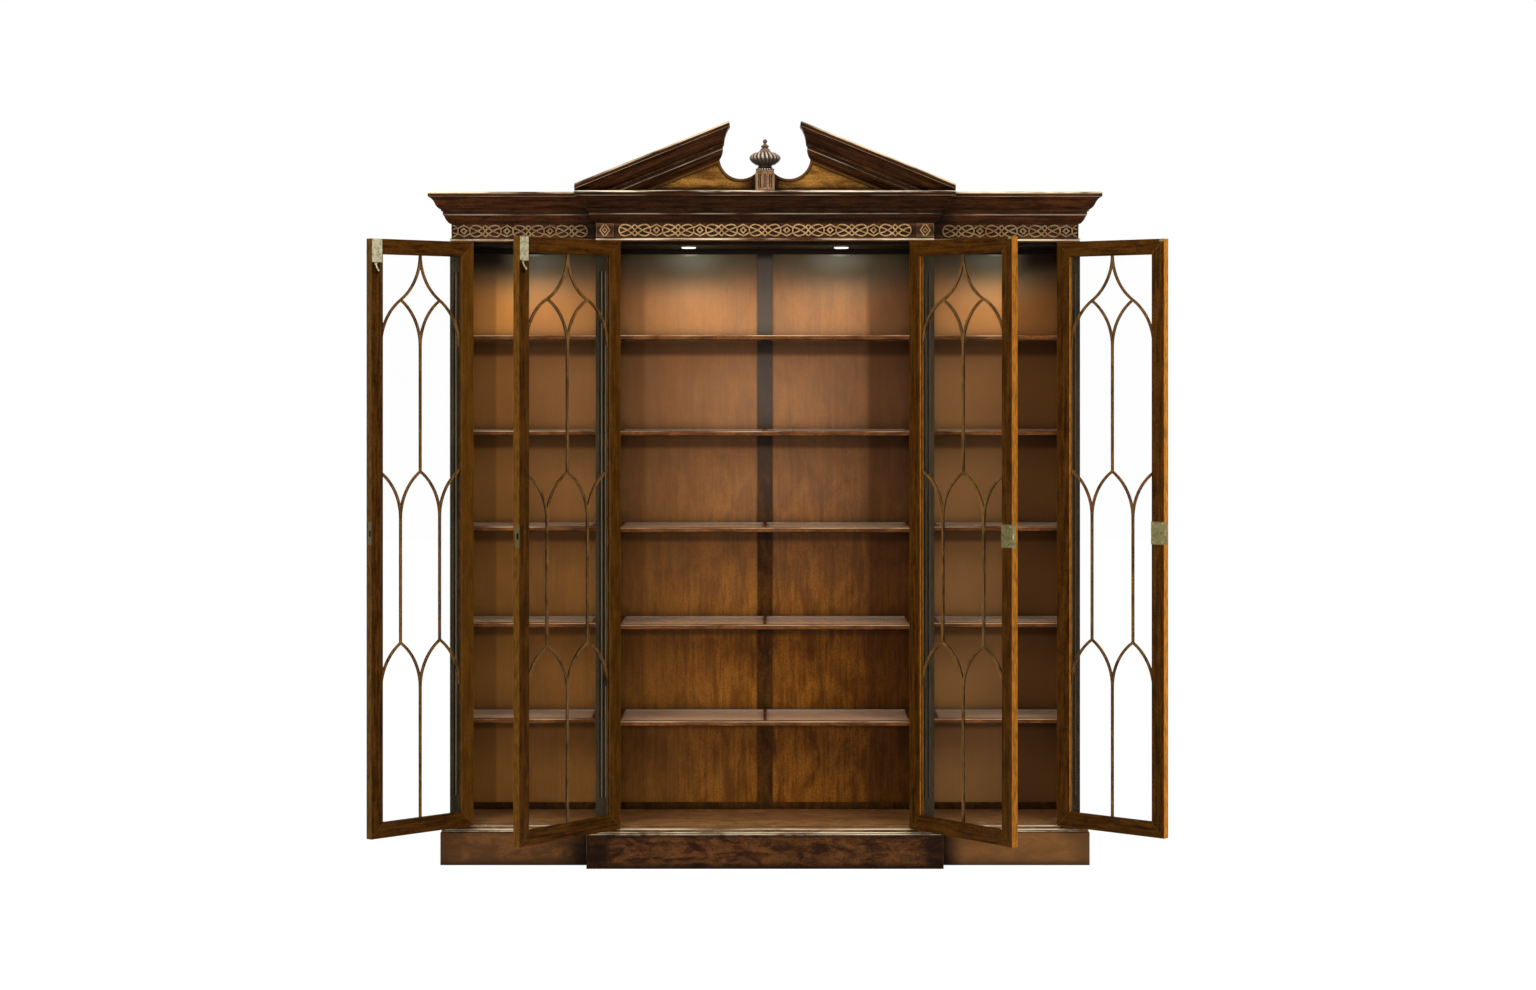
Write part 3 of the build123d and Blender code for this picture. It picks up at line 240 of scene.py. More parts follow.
def noise(tree, vector, scale, detail=4.0, roughness=0.6, distortion=0.0):
    """A noise texture; returns its grey output."""
    return shader(tree, "ShaderNodeTexNoise", {
        "Vector": vector, "Scale": scale, "Detail": detail, "Roughness": roughness,
        "Distortion": distortion}).outputs["Fac"]


def place_at_rest(tree):
    """Where a point of the object lies in the room while the object is at rest."""
    return shader(tree, "ShaderNodeTexCoord").outputs["Object"]


def bump(tree, height, strength, depth):
    """A faint relief of some depth in metres; returns the bumped normal."""
    return shader(tree, "ShaderNodeBump", {
        "Height": height, "Strength": strength, "Distance": depth}).outputs["Normal"]


def blend_colour(tree, factor, under, over):
    """Mixes two colours given as tuples or sockets; returns the colour socket."""
    return shader(tree, "ShaderNodeMix", {"Factor": factor, 6: under, 7: over},
                  data_type="RGBA").outputs[2]


def overlay(tree, tone, mask, strength, colour):
    """Lays a colour over a tone, where a mask says and as strongly as a number says."""
    return blend_colour(tree, times(tree, mask, strength), tone, colour)


def new_finish(name):
    """A material with a Principled shader; returns the material, tree and shader."""
    material = bpy.data.materials.new(name)
    material.use_nodes = True
    tree = material.node_tree
    return material, tree, tree.nodes["Principled BSDF"]


def wear(material, *node_names):
    """Gives CAD nodes their finish."""
    for node_name in node_names:
        mesh = nodes[node_name].data
        mesh.materials.clear()
        mesh.materials.append(material)


print("colour helpers ready")

# %% Wood helpers
def squeezed(tree, vector, grain, ratio):
    """Coordinates squeezed across the grain, so that a noise on them runs along it."""
    ratios = [1.0 if axis == grain else ratio for axis in "xyz"]
    return shader(tree, "ShaderNodeVectorMath", {0: vector, 1: ratios},
                  operation="MULTIPLY").outputs[0]


def turned(tree, vector, axis, degrees):
    """Coordinates turned about an axis, for boards that stand askew."""
    return shader(tree, "ShaderNodeVectorRotate",
                  {"Vector": vector, "Axis": axis, "Angle": math.radians(degrees)},
                  rotation_type="AXIS_ANGLE").outputs["Vector"]


def dot(tree, vector, direction):
    """Dot product of two vectors; the second may be fixed."""
    return shader(tree, "ShaderNodeVectorMath", {0: vector, 1: direction},
                  operation="DOT_PRODUCT").outputs["Value"]


def inverse(tree, mask):
    """1 where the mask is 0, and 0 where it is 1."""
    return math_node(tree, "SUBTRACT", 1.0, mask)


def edge_mask(tree, radius, sharpness):
    """1 along the edges of a solid, 0 on its flat faces."""
    bevel = shader(tree, "ShaderNodeBevel", {"Radius": radius}, samples=4)
    true_normal = shader(tree, "ShaderNodeNewGeometry").outputs["Normal"]
    bent = inverse(tree, dot(tree, bevel.outputs["Normal"], true_normal))
    return smooth_step(tree, bent, 0.02, sharpness)


def corner_mask(tree, reach):
    """1 deep in a corner or a hollow, 0 in the open."""
    light = shader(tree, "ShaderNodeAmbientOcclusion", {"Distance": reach}, samples=4)
    return smooth_step(tree, inverse(tree, light.outputs["AO"]), 0.12, 0.62)


def band(tree, level, low, high):
    """1 between two heights, fading at both."""
    fade = (high - low) * 0.3
    return times(tree, smooth_step(tree, level, low, low + fade),
                 smooth_step(tree, level, high, high - fade))


def facing(tree, direction, start, end):
    """1 on faces turned towards a direction, 0 on the rest."""
    normal = shader(tree, "ShaderNodeTexCoord").outputs["Normal"]
    return smooth_step(tree, dot(tree, normal, direction), start, end)


def coordinates(tree, place):
    """The place as three separate numbers."""
    return tuple(shader(tree, "ShaderNodeSeparateXYZ", {0: place}).outputs)


def scaled(colour, factor):
    """A colour made darker or lighter."""
    return tuple(channel * factor for channel in colour)


print("wood helpers ready")

# %% The wood's pattern
FIBRES_PER_METRE, PORES_PER_METRE = 6.0, 24.0
SPECKS_PER_METRE, PATCHES_PER_METRE = 170.0, 24.0
FIBRE_SQUEEZE, FIGURE_SQUEEZE = 16.0, 2.2
EDGE_RADIUS, EDGE_SHARPNESS = 0.0022, 0.22


def grain_pattern(tree, place, grain, mitred):
    """Coordinates along the grain; on mitred returns it runs from front to back."""
    def stretch(ratio):
        along = squeezed(tree, place, grain, ratio)
        if not mitred:
            return along
        normal = shader(tree, "ShaderNodeTexCoord").outputs["Normal"]
        sideways = math_node(tree, "ABSOLUTE", dot(tree, normal, (1, 0, 0)))
        choose = {"Factor": math_node(tree, "GREATER_THAN", sideways, 0.6), 4: along,
                  5: squeezed(tree, place, "y", ratio)}
        return shader(tree, "ShaderNodeMix", choose, data_type="VECTOR").outputs[1]

    return stretch(FIBRE_SQUEEZE), stretch(FIGURE_SQUEEZE)


print("fibres are squeezed", FIBRE_SQUEEZE, "times across the grain")

# %% The wood function
def wood(name, dark, light, grain="z", turn=(0, 0, 1, 0.0), mitred=False, streaks=0.4,
         figure=13.0, wear_and_sheen=None, wear_and_sheen_share=0.0, bands=(), band_colour=(0.55, 0.38, 0.22),
         height=(0, 0, 1), top_too=False, wax_and_shade=0.75, wax_and_shade_reach=0.02, nook=0.0,
         nook_reach=0.09, gloss=0.04, rough=0.34, finish_tone=None):
    """Polished wood between two tones.  streaks is the share of the fibres in the
    pattern and figure the scale of the rest, wear_and_sheen is the colour of edges that
    are worn and get a painted highlight, bands are the heights of ridges that get them
    too (and with top_too the ledges over them), wax_and_shade darkens the corners with
    wax and painted shade and nook paints shadow in the deep ones between pieces, and
    finish_tone may change the tone by place."""
    material, tree, principled = new_finish(name)
    place = place_at_rest(tree)
    straight = turned(tree, place, turn[:3], turn[3]) if turn[3] else place
    along, blotched = grain_pattern(tree, straight, grain, mitred)
    fibres = noise(tree, along, FIBRES_PER_METRE, detail=7.0, roughness=0.62,
                   distortion=0.3)
    blotches = noise(tree, blotched, figure, detail=6.0, distortion=0.7)
    pattern = math_node(tree, "ADD", times(tree, fibres, streaks),
                        times(tree, blotches, 1.0 - streaks))
    tone = blend_colour(tree, smooth_step(tree, pattern, 0.36, 0.64), dark, light)
    pores = smooth_step(tree, noise(tree, along, PORES_PER_METRE, detail=3.0), 0.54, 0.68)
    tone = overlay(tree, tone, pores, 0.5, scaled(dark, 0.4))
    specks = smooth_step(tree, noise(tree, place, SPECKS_PER_METRE, detail=3.0), 0.40, 0.68)
    tone = overlay(tree, tone, specks, 0.42, scaled(dark, 0.3))
    if finish_tone is not None:
        tone = finish_tone(tree, place, tone)
    # Darker corners: gathered wax and painted shade.
    if wax_and_shade:
        corner = corner_mask(tree, wax_and_shade_reach)
        tone = overlay(tree, tone, corner, wax_and_shade, scaled(dark, 0.12))
    # Paler edges: wear and a painted highlight.
    if wear_and_sheen is not None:
        patchy = smooth_step(tree, noise(tree, place, PATCHES_PER_METRE, detail=5.0),
                             0.36, 0.6)
        edges = times(tree, edge_mask(tree, EDGE_RADIUS, EDGE_SHARPNESS), patchy)
        tone = overlay(tree, tone, edges, wear_and_sheen_share, wear_and_sheen)
    # Paler ridges: wear and a painted highlight.
    if bands:
        level = dot(tree, place, height)
        broken = smooth_step(tree, noise(tree, along, 4.0), 0.36, 0.6)
        if not top_too:
            broken = times(tree, broken, inverse(tree, facing(tree, height, 0.93, 0.985)))
        for low, high, strength in bands:
            ridge_wear_and_sheen = times(tree, band(tree, level, low, high), broken)
            tone = overlay(tree, tone, ridge_wear_and_sheen, strength, band_colour)
    # Painted shadow deep in the corners between pieces.
    if nook:
        deep = corner_mask(tree, nook_reach)
        tone = overlay(tree, tone, deep, nook, (0.003, 0.0015, 0.001))
    feed(tree, principled, {
        "Base Color": tone, "Specular IOR Level": gloss,
        "Roughness": math_node(tree, "MULTIPLY_ADD", pattern, 0.16, rough - 0.08),
        "Normal": bump(tree, math_node(tree, "SUBTRACT", fibres, pores), 0.2, 0.0006)})
    return material


print("wood function ready")

# %% [markdown]
# ## The carcass
#
# Pilasters, sides and piers are upright boards, so their grain runs upward.  The
# outside is nearly black-brown, with a reddish light where the polish is thin, and
# the faces on the right that look left get painted warm light.  The pilasters stand
# behind the doors: their greenish grey is a painted reflection of the pale room in
# the door glass, and each flute has a painted highlight, nearly white, on one wall
# and painted shade on the other.

# %% Uprights of the carcass
WEAR_AND_SHEEN_TAN = (0.34, 0.19, 0.085)
LEFT, RIGHT = (-1, 0, 0), (1, 0, 0)


def painted_light_right(tree, place, tone):
    """Painted warm light on the faces that look left on the right-hand side."""
    x = coordinates(tree, place)[0]
    inward = times(tree, smooth_step(tree, x, 0.2, 0.5), facing(tree, LEFT, 0.6, 0.9))
    return overlay(tree, tone, inward, 0.75, (0.22, 0.086, 0.014))


upright_wood = wood("upright_mahogany", (0.022, 0.0080, 0.0018),
                    (0.080, 0.030, 0.0055), "z", wear_and_sheen=WEAR_AND_SHEEN_TAN, wear_and_sheen_share=0.6,
                    finish_tone=painted_light_right)
wear(upright_wood, "outer_sides", "pier_boards")


def flute_walls(tree, place, tone):
    """One wall of each flute gets painted shade, nearly black, and the other a pale
    painted highlight.
    """
    shaded_wall = facing(tree, RIGHT, 0.12, 0.4)
    lit_wall = facing(tree, LEFT, 0.12, 0.4)
    tone = overlay(tree, tone, shaded_wall, 0.9, (0.006, 0.005, 0.0035))
    return overlay(tree, tone, lit_wall, 0.7, (0.28, 0.205, 0.11))


# The greenish grey of the pilasters is a painted reflection of the room in the door glass.
pilaster_wood = wood("pilaster_mahogany", (0.036, 0.025, 0.012), (0.070, 0.050, 0.026), "z",
                     streaks=0.3, figure=5.0, wax_and_shade=0.8, wax_and_shade_reach=0.006, gloss=0.08,
                     finish_tone=flute_walls)
wear(pilaster_wood, "pilasters")
print("uprights use", upright_wood.name, "and", pilaster_wood.name)

# %% [markdown]
# ## Ring mouldings
#
# Plinth, base moulding, frieze and cornice run round the front in lengths mitred at
# the corners.  On the fronts the grain runs sideways and on the returns it runs to
# the back; the face's normal tells which is which.  The ridges of a moulding are
# paler, partly rubbed by dusting and polishing and partly a painted highlight, and a
# ridge keeps one height all along, so it is enough to name the heights.

# %% Plinth
plinth_low, plinth_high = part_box("plinth_centre")
mould_low, mould_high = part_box("base_moulding")
centre_end, wing_end = abs(plinth_low.x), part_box("plinth_wings")[1].x


def darker_ends(tree, place, tone):
    """The plinth gets painted shade at the break, at its ends, along the floor and under
    the moulding, and it is lighter towards the wings, the right one most."""
    x, _, z = coordinates(tree, place)
    across = math_node(tree, "ABSOLUTE", x)
    shadow = strongest(
        tree, band(tree, across, centre_end - 0.10, centre_end + 0.10),
        smooth_step(tree, across, wing_end - 0.09, wing_end),
        smooth_step(tree, z, 0.03, 0.0),
        smooth_step(tree, z, plinth_high.z - 0.02, plinth_high.z))
    tone = overlay(tree, tone, shadow, 0.75, (0.010, 0.0045, 0.0022))
    for start, end, strength, colour in ((0.62, 0.72, 0.42, (0.34, 0.155, 0.050)),
                                         (-0.62, -0.8, 0.35, (0.20, 0.088, 0.028))):
        tone = overlay(tree, tone, smooth_step(tree, x, start, end), strength, colour)
    return tone


plinth_wood = wood("plinth_mahogany", (0.026, 0.0090, 0.0034), (0.135, 0.050, 0.014), "x",
                   mitred=True, streaks=0.12, figure=12.0, wear_and_sheen=(0.20, 0.14, 0.10),
                   wear_and_sheen_share=0.6, nook=0.8, nook_reach=0.05, finish_tone=darker_ends)
wear(plinth_wood, "plinth_centre", "plinth_wings")
print("plinth", round(plinth_high.z * 1000), "mm high")

# %% Base moulding
# The base moulding's bands and edges are worn and get painted highlights.
base_wood = wood("base_moulding_mahogany", (0.060, 0.025, 0.009), (0.27, 0.14, 0.055), "x",
                 mitred=True, wear_and_sheen=(0.90, 0.76, 0.54), wear_and_sheen_share=1.0, wax_and_shade=0.95,
                 wax_and_shade_reach=0.010, top_too=True,
                 bands=[(mould_low.z - 0.001, mould_low.z + 0.003, 0.9),
                        (mould_low.z + 0.0045, mould_low.z + 0.0095, 1.0),
                        (mould_high.z - 0.004, mould_high.z + 0.001, 0.85)],
                 band_colour=(0.86, 0.72, 0.50))
wear(base_wood, "base_moulding")
print("base moulding", round((mould_high.z - mould_low.z) * 1000), "mm high")

# %% Frieze and cornices
frieze_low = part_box("frieze")[0]
cornice_low, cornice_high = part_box("cornice_centre")
cornice_height = cornice_high.z - cornice_low.z
CORNICE_DARK = (0.0088, 0.0027, 0.0007)
CORNICE_LIGHT = (0.048, 0.0148, 0.0034)
fret_low, fret_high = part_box("frieze_frets")


def shaded_fret_ground(tree, place, tone):
    """Painted shade on the ground behind the fret."""
    z = coordinates(tree, place)[2]
    ground = band(tree, z, fret_low.z + 0.001, fret_high.z - 0.001)
    return overlay(tree, tone, ground, 0.8, (0.012, 0.0055, 0.0028))


frieze_wood = wood("frieze_mahogany", (0.045, 0.0165, 0.0050), (0.150, 0.060, 0.018), "x",
                   mitred=True, wear_and_sheen=WEAR_AND_SHEEN_TAN, wear_and_sheen_share=0.5, wax_and_shade=0.9, wax_and_shade_reach=0.007,
                   bands=[(frieze_low.z + 0.003, frieze_low.z + 0.011, 1.0)],
                   band_colour=(0.80, 0.64, 0.42), nook=0.9, finish_tone=shaded_fret_ground)
wear(frieze_wood, "frieze")


def cornice_ridges(base):
    """Foot, top and strength of the ridges of a cornice that starts at base; they get
    wear and a painted highlight.
    """
    top = base + cornice_height
    return [(top - 0.0070, top + 0.003, 1.0), (top - 0.018, top - 0.0155, 0.3),
            (base + 0.0275, base + 0.0325, 0.36)]


# The wings get a lighter copy of the centre's finish, painted light, and nook paints the shadow
# that the centre's cornice casts on them.
for part, shade in (("centre", 0.95), ("wings", 1.9)):
    finish = wood(f"cornice_{part}_mahogany", scaled(CORNICE_DARK, shade),
                  scaled(CORNICE_LIGHT, shade), "x", mitred=True, streaks=0.6,
                  wear_and_sheen=WEAR_AND_SHEEN_TAN, wear_and_sheen_share=0.4, wax_and_shade=0.9, nook=0.95,
                  bands=cornice_ridges(cornice_low.z), band_colour=(0.90, 0.72, 0.48))
    wear(finish, f"cornice_{part}")
print("cornice", round(cornice_height * 1000), "mm high")

# %% [markdown]
# ## The pediment
#
# The raking cornices are the same moulding laid on a slope, so their grain and their
# ridges, worn and with painted highlights, run up the slope.  The tympanum between
# them is the palest board of the front, golden where the polish is rubbed through,
# with painted highlights on its edges and painted shade in its corners.

# %% Raking cornices
rake_low, rake_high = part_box("rake_right")
rake_tip_x = rake_low.x + 0.003
rake_angle = 22.0
slope = math.radians(rake_angle)
for side, sign in (("left", -1), ("right", 1)):
    across = Vector((sign * math.sin(slope), 0, math.cos(slope)))
    ridge_top = Vector((sign * rake_tip_x, 0, rake_high.z)).dot(across)
    finish = wood(f"rake_{side}_mahogany", scaled(CORNICE_DARK, 1.25),
                  scaled(CORNICE_LIGHT, 1.35), "x", turn=(0, 1, 0, -sign * rake_angle),
                  streaks=0.75, wear_and_sheen=(0.44, 0.27, 0.13), wear_and_sheen_share=0.5, wax_and_shade=0.9,
                  bands=cornice_ridges(ridge_top - cornice_height), height=across,
                  band_colour=(0.70, 0.52, 0.32))
    wear(finish, f"rake_{side}")
print("raking cornices rise", rake_angle, "degrees")

# %% Tympanum and pedestal
rim_face_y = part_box("tympanum")[0].y
rim_relief = 0.004
quirk_reach = 0.024


def darker_rim(tree, place, tone):
    """The rim round each panel is browner, with painted shade in the quirk beside it."""
    y = coordinates(tree, place)[1]
    rim = smooth_step(tree, y, rim_face_y + rim_relief * 0.6, rim_face_y + rim_relief * 0.2)
    tone = overlay(tree, tone, rim, 0.9, (0.100, 0.036, 0.007))
    quirk = smooth_step(tree, corner_mask(tree, quirk_reach), 0.0, 0.2)
    quirk = times(tree, quirk, inverse(tree, rim))
    return blend_colour(tree, quirk, tone, (0.004, 0.002, 0.001))


tympanum_wood = wood("tympanum_mahogany", (0.125, 0.045, 0.0064), (0.47, 0.215, 0.040), "x",
                     streaks=0.3, figure=9.0, wear_and_sheen=(0.40, 0.20, 0.060), wear_and_sheen_share=0.25,
                     wax_and_shade=0.9, wax_and_shade_reach=0.03, nook=0.7, nook_reach=0.05,
                     finish_tone=darker_rim)
wear(tympanum_wood, "tympanum")


def shaded_flutes(tree, place, tone):
    """The walls of the flutes get painted shade, nearly black."""
    walls = strongest(tree, facing(tree, LEFT, 0.22, 0.5), facing(tree, RIGHT, 0.22, 0.5))
    return overlay(tree, tone, walls, 0.95, (0.008, 0.004, 0.002))


pedestal_wood = wood("pedestal_mahogany", (0.080, 0.036, 0.012), (0.36, 0.185, 0.078), "z",
                     wear_and_sheen=(0.90, 0.74, 0.55), wear_and_sheen_share=1.0, wax_and_shade=0.6, wax_and_shade_reach=0.012,
                     finish_tone=shaded_flutes)
wear(pedestal_wood, "pedestal")
print("tympanum and pedestal done")

# %% [markdown]
# ## The blind fret
#
# The fret is thin wood planted on the frieze: strands that interlace in loops.  The
# strands stand proud, so they are rubbed to a light tan and their edges get painted
# highlights, while the ground between them gets painted shade.

# %% Fret
block_start, block_end = 0.5395, 0.6015
block_frame = 0.0036


def sunk_blocks(tree, place, tone):
    """The blocks are carved: their sunk ground gets painted shade and only the lozenges
    stay pale.  The fret on the wings gets painted shade too.
    """
    x, y, z = coordinates(tree, place)
    across = math_node(tree, "ABSOLUTE", x)
    block = times(tree, math_node(tree, "GREATER_THAN", across, block_start),
                  math_node(tree, "LESS_THAN", across, block_end))
    sunk = smooth_step(tree, y, fret_low.y + 0.0003, fret_low.y + 0.0012)
    sunk = times(tree, block, sunk)
    tone = blend_colour(tree, sunk, tone, (0.115, 0.048, 0.016))
    inner = band(tree, z, fret_low.z + block_frame, fret_high.z - block_frame)
    ground = times(tree, sunk, inner)
    tone = overlay(tree, tone, ground, 0.8, (0.016, 0.0075, 0.0035))
    wing = math_node(tree, "GREATER_THAN", across, block_end)
    return overlay(tree, tone, wing, 0.72, (0.12, 0.050, 0.014))


fret_wood = wood("fret_mahogany", (0.28, 0.135, 0.042), (0.62, 0.36, 0.15), "x",
                 figure=40.0, wear_and_sheen=(0.92, 0.70, 0.40), wear_and_sheen_share=0.9, wax_and_shade=0.6,
                 wax_and_shade_reach=0.004, finish_tone=sunk_blocks)
wear(fret_wood, "frieze_frets")
print("fret done")

# %% [markdown]
# ## Inside
#
# The inside is redder and lighter than the outside.  The panels get painted light that
# is paler near the lamps, with a painted grey pool of light and reflection close under
# them, and painted shadow under each shelf.  All of this depends on the place, so it is
# drawn with masks on the three coordinates, laid over one figured wood, while the
# frame, the ceiling and the floor get tones of their own.

# %% Places inside
BACKWARD = (0, 1, 0)
back_low, back_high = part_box("back_panels")
lamp_low, lamp_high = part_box("lamp_lenses")
lens_radius = 0.0198
centre_lamp_x = 0.277
wing_lamp_x = lamp_high.x - lens_radius
shelf_tops = (0.515, 0.860, 1.207, 1.552, 1.895)
shelf_thickness = 0.022
print("wing lamps stand", round(wing_lamp_x, 3), "m from the middle")

# %% Painted lamp light and shadows on the back
# Rings of painted light and lamp reflection round each lamp.
LAMP_LIGHT_RINGS = [
    # reach, how much flatter than round, strength, colour
    (0.24, 1.0, 0.75, (0.20, 0.180, 0.115)), (0.11, 1.2, 0.75, (0.42, 0.44, 0.36)),
    (0.032, 3.0, 1.0, (0.95, 0.98, 0.88))]


def painted_lamp_light(tree, place, tone):
    """A painted pool of light and lamp reflection round each lamp, over a band of
    painted shade at the head of the panels that is darkest at the far ends.
    """
    x, _, z = coordinates(tree, place)
    across = math_node(tree, "ABSOLUTE", x)
    head = smooth_step(tree, z, back_high.z - 0.17, back_high.z - 0.01)
    tone = overlay(tree, tone, head, 0.85, (0.060, 0.052, 0.034))
    down = math_node(tree, "SUBTRACT", z, back_high.z)
    for lamp_x, strength in ((centre_lamp_x, 0.95), (wing_lamp_x, 0.78)):
        sideways = math_node(tree, "SUBTRACT", across, lamp_x)
        for reach, flatter, amount, colour in LAMP_LIGHT_RINGS:
            distance = math_node(tree, "SQRT", math_node(
                tree, "ADD", math_node(tree, "POWER", times(tree, sideways, 0.7), 2.0),
                math_node(tree, "POWER", times(tree, down, flatter), 2.0)))
            ring = smooth_step(tree, distance, reach, 0.0)
            tone = overlay(tree, tone, ring, strength * amount, colour)
    ends = times(tree, smooth_step(tree, across, 0.92, 1.0),
                 smooth_step(tree, z, back_high.z - 0.08, back_high.z - 0.02))
    return overlay(tree, tone, ends, 0.8, (0.010, 0.006, 0.003))


def shelf_shadows(tree, z, tone, reach, strength, colour):
    """Painted shadow close under each shelf."""
    for top in shelf_tops:
        foot = top - shelf_thickness
        shade = band(tree, z, foot - reach, foot + 0.012)
        tone = overlay(tree, tone, shade, strength, colour)
    return tone


print(len(LAMP_LIGHT_RINGS), "rings of bloom round each lamp")

# %% Back panels
# WARM zones paint light on the back, and SHADY and DEEP zones paint shade.
WARM, SHADY, DEEP = (0.38, 0.165, 0.042), (0.080, 0.026, 0.004), (0.060, 0.019, 0.004)
BACK_ZONES = [
    # from x, to x, strength, colour
    (0.2, -0.9, 0.55, WARM), (0.54, 0.56, 0.75, WARM), (-0.6, -0.64, 0.3, WARM),
    (0.60, 0.64, 0.45, (0.58, 0.30, 0.115)), (-0.88, -0.91, 0.42, (0.60, 0.27, 0.060)),
    (-0.1, 0.5, 0.25, SHADY), (0.86, 0.95, 0.68, SHADY), (-0.990, -1.002, 0.36, DEEP)]
# Painted shadow at the sides of the centre section.
CENTRE_SIDES = [
    # from x, to x, strength
    (-0.43, -0.46, 0.35), (0.365, 0.395, 0.6)]
centre_reach = 0.57


def inside_tones(tree, place, tone):
    """Painted light that rises towards the lamps and changes in zones across the back,
    with painted shadow under the shelves and at the sides."""
    x, _, z = coordinates(tree, place)
    bare = tone
    rise = smooth_step(tree, z, 0.65, 1.85)
    tone = overlay(tree, tone, rise, 0.6, (0.47, 0.260, 0.140))
    for start, end, strength, colour in BACK_ZONES:
        tone = overlay(tree, tone, smooth_step(tree, x, start, end), strength, colour)
    middle = math_node(tree, "LESS_THAN", math_node(tree, "ABSOLUTE", x), centre_reach)
    for inner, outer, strength in CENTRE_SIDES:
        side = times(tree, smooth_step(tree, x, inner, outer), middle)
        tone = overlay(tree, tone, side, strength, DEEP)
    tone = shelf_shadows(tree, z, tone, 0.060, 0.6, (0.030, 0.010, 0.003))
    rear = facing(tree, BACKWARD, 0.4, 0.8)
    return blend_colour(tree, rear, painted_lamp_light(tree, place, tone), bare)


back_wood = wood("back_mahogany", (0.115, 0.036, 0.0030), (0.385, 0.140, 0.016), "z",
                 streaks=0.4, figure=6.0, finish_tone=inside_tones, wax_and_shade=0.5,
                 wax_and_shade_reach=0.05)
wear(back_wood, "back_panels")
print("back panels reach", round(back_high.z * 1000), "mm")

# %% Back frame, with a greyer middle stile
def grey_stile(tree, place, tone):
    """The frame was stained darker than its panels and is greyer higher up, with painted
    shadow under the shelves and at its head.
    """
    z = coordinates(tree, place)[2]
    bare = tone
    grey = smooth_step(tree, z, 1.0, 1.9)
    tone = overlay(tree, tone, grey, 0.8, (0.110, 0.098, 0.084))
    tone = shelf_shadows(tree, z, tone, 0.055, 0.7, (0.010, 0.005, 0.003))
    head = smooth_step(tree, z, back_high.z - 0.03, back_high.z + 0.004)
    tone = overlay(tree, tone, head, 0.9, (0.012, 0.008, 0.005))
    return blend_colour(tree, facing(tree, BACKWARD, 0.4, 0.8), tone, bare)


stile_wood = wood("back_frame_mahogany", (0.044, 0.016, 0.0028),
                  (0.112, 0.042, 0.0068), "z", finish_tone=grey_stile,
                  wear_and_sheen=(0.3, 0.15, 0.07), wear_and_sheen_share=0.25, wax_and_shade_reach=0.05)
wear(stile_wood, "back_frame")
print("back frame done")

# %% Shelves
def shaded_underside(tree, place, tone):
    """Painted shade on the underside of a shelf."""
    below = facing(tree, (0, 0, -1), 0.5, 0.9)
    return blend_colour(tree, below, tone, (0.004, 0.002, 0.0012))


# The bands paint a highlight on the front arris of each shelf.
shelf_wood = wood("shelf_mahogany", (0.075, 0.024, 0.0065), (0.21, 0.078, 0.024), "x",
                  wear_and_sheen=(0.52, 0.36, 0.22), wear_and_sheen_share=0.9, finish_tone=shaded_underside,
                  bands=[(top - 0.0035, top + 0.001, 0.9) for top in shelf_tops],
                  band_colour=(0.62, 0.42, 0.24), gloss=0.02, wax_and_shade=0.3)
wear(shelf_wood, "centre_shelf_frames", "wing_shelf_frames")
print(len(shelf_tops), "shelves in each section")

# %% Floor and ceiling inside
inside_floor = wood("inside_floor_mahogany", (0.210, 0.090, 0.028), (0.50, 0.245, 0.092),
                    "x", wear_and_sheen=WEAR_AND_SHEEN_TAN, wear_and_sheen_share=0.5, gloss=0.15)
wear(inside_floor, "floor_boards")
# The ceiling is painted near black: painted shade.
shaded_ceiling = wood("ceiling_mahogany", (0.005, 0.0025, 0.0012), (0.013, 0.0065, 0.0028),
                    "x")
wear(shaded_ceiling, "ceiling_boards")
print("inside done")

# %% Softwood that never shows from the front
pine = wood("carcass_pine", (0.30, 0.19, 0.095), (0.50, 0.36, 0.21), "x", rough=0.6,
            wax_and_shade=0.3)
wear(pine, "plinth_bearers", "dust_boards")
print("pine done")

# %% [markdown]
# ## The doors
#
# A door's stiles are upright and its rails lie across, mitred at the corners like a
# picture frame.  The doors stand open at different angles, so each pair of rails
# needs its grain turned with the door.  The rest angle is in the hinge: it is how
# far the door must swing back to be shut.

# %% Door geometry from the hinges
door_gap = 0.002
pin_to_face = 0.0048
door_thickness = 0.0265


class Door:
    """One door: where its pin is, how it stands and which way it faces."""

    def __init__(self, name):
        hinge = joints[f"{name}_hinge"]
        self.name = name
        self.body = f"{name}_door"
        self.pin = Vector(hinge["pos_m"])
        self.hand = 1.0 if name.endswith("left") else -1.0
        self.open_angle = -hinge["range_deg"][0]
        swing = math.radians(-self.hand * self.open_angle)
        self.turn = Matrix.Rotation(swing, 3, "Z")

    def point(self, along, depth, height):
        """From the hinged edge and the outer face to a place in the room."""
        local = Vector((self.hand * (along + door_gap / 2), depth + pin_to_face, 0))
        spot = self.turn @ local
        return Vector((self.pin.x + spot.x, self.pin.y + spot.y, height))

    def direction(self, along, depth):
        """A direction in the room, given along and through the door."""
        return self.turn @ Vector((self.hand * along, depth, 0))


doors = [Door(name) for name in ("centre_left", "centre_right", "wing_left", "wing_right")]
for door in doors:
    print(door.name, "stands", door.open_angle, "degrees open")

# %% Tones of the doors
DOOR_DARK = (0.026, 0.0088, 0.0010)
DOOR_LIGHT = (0.100, 0.035, 0.0038)
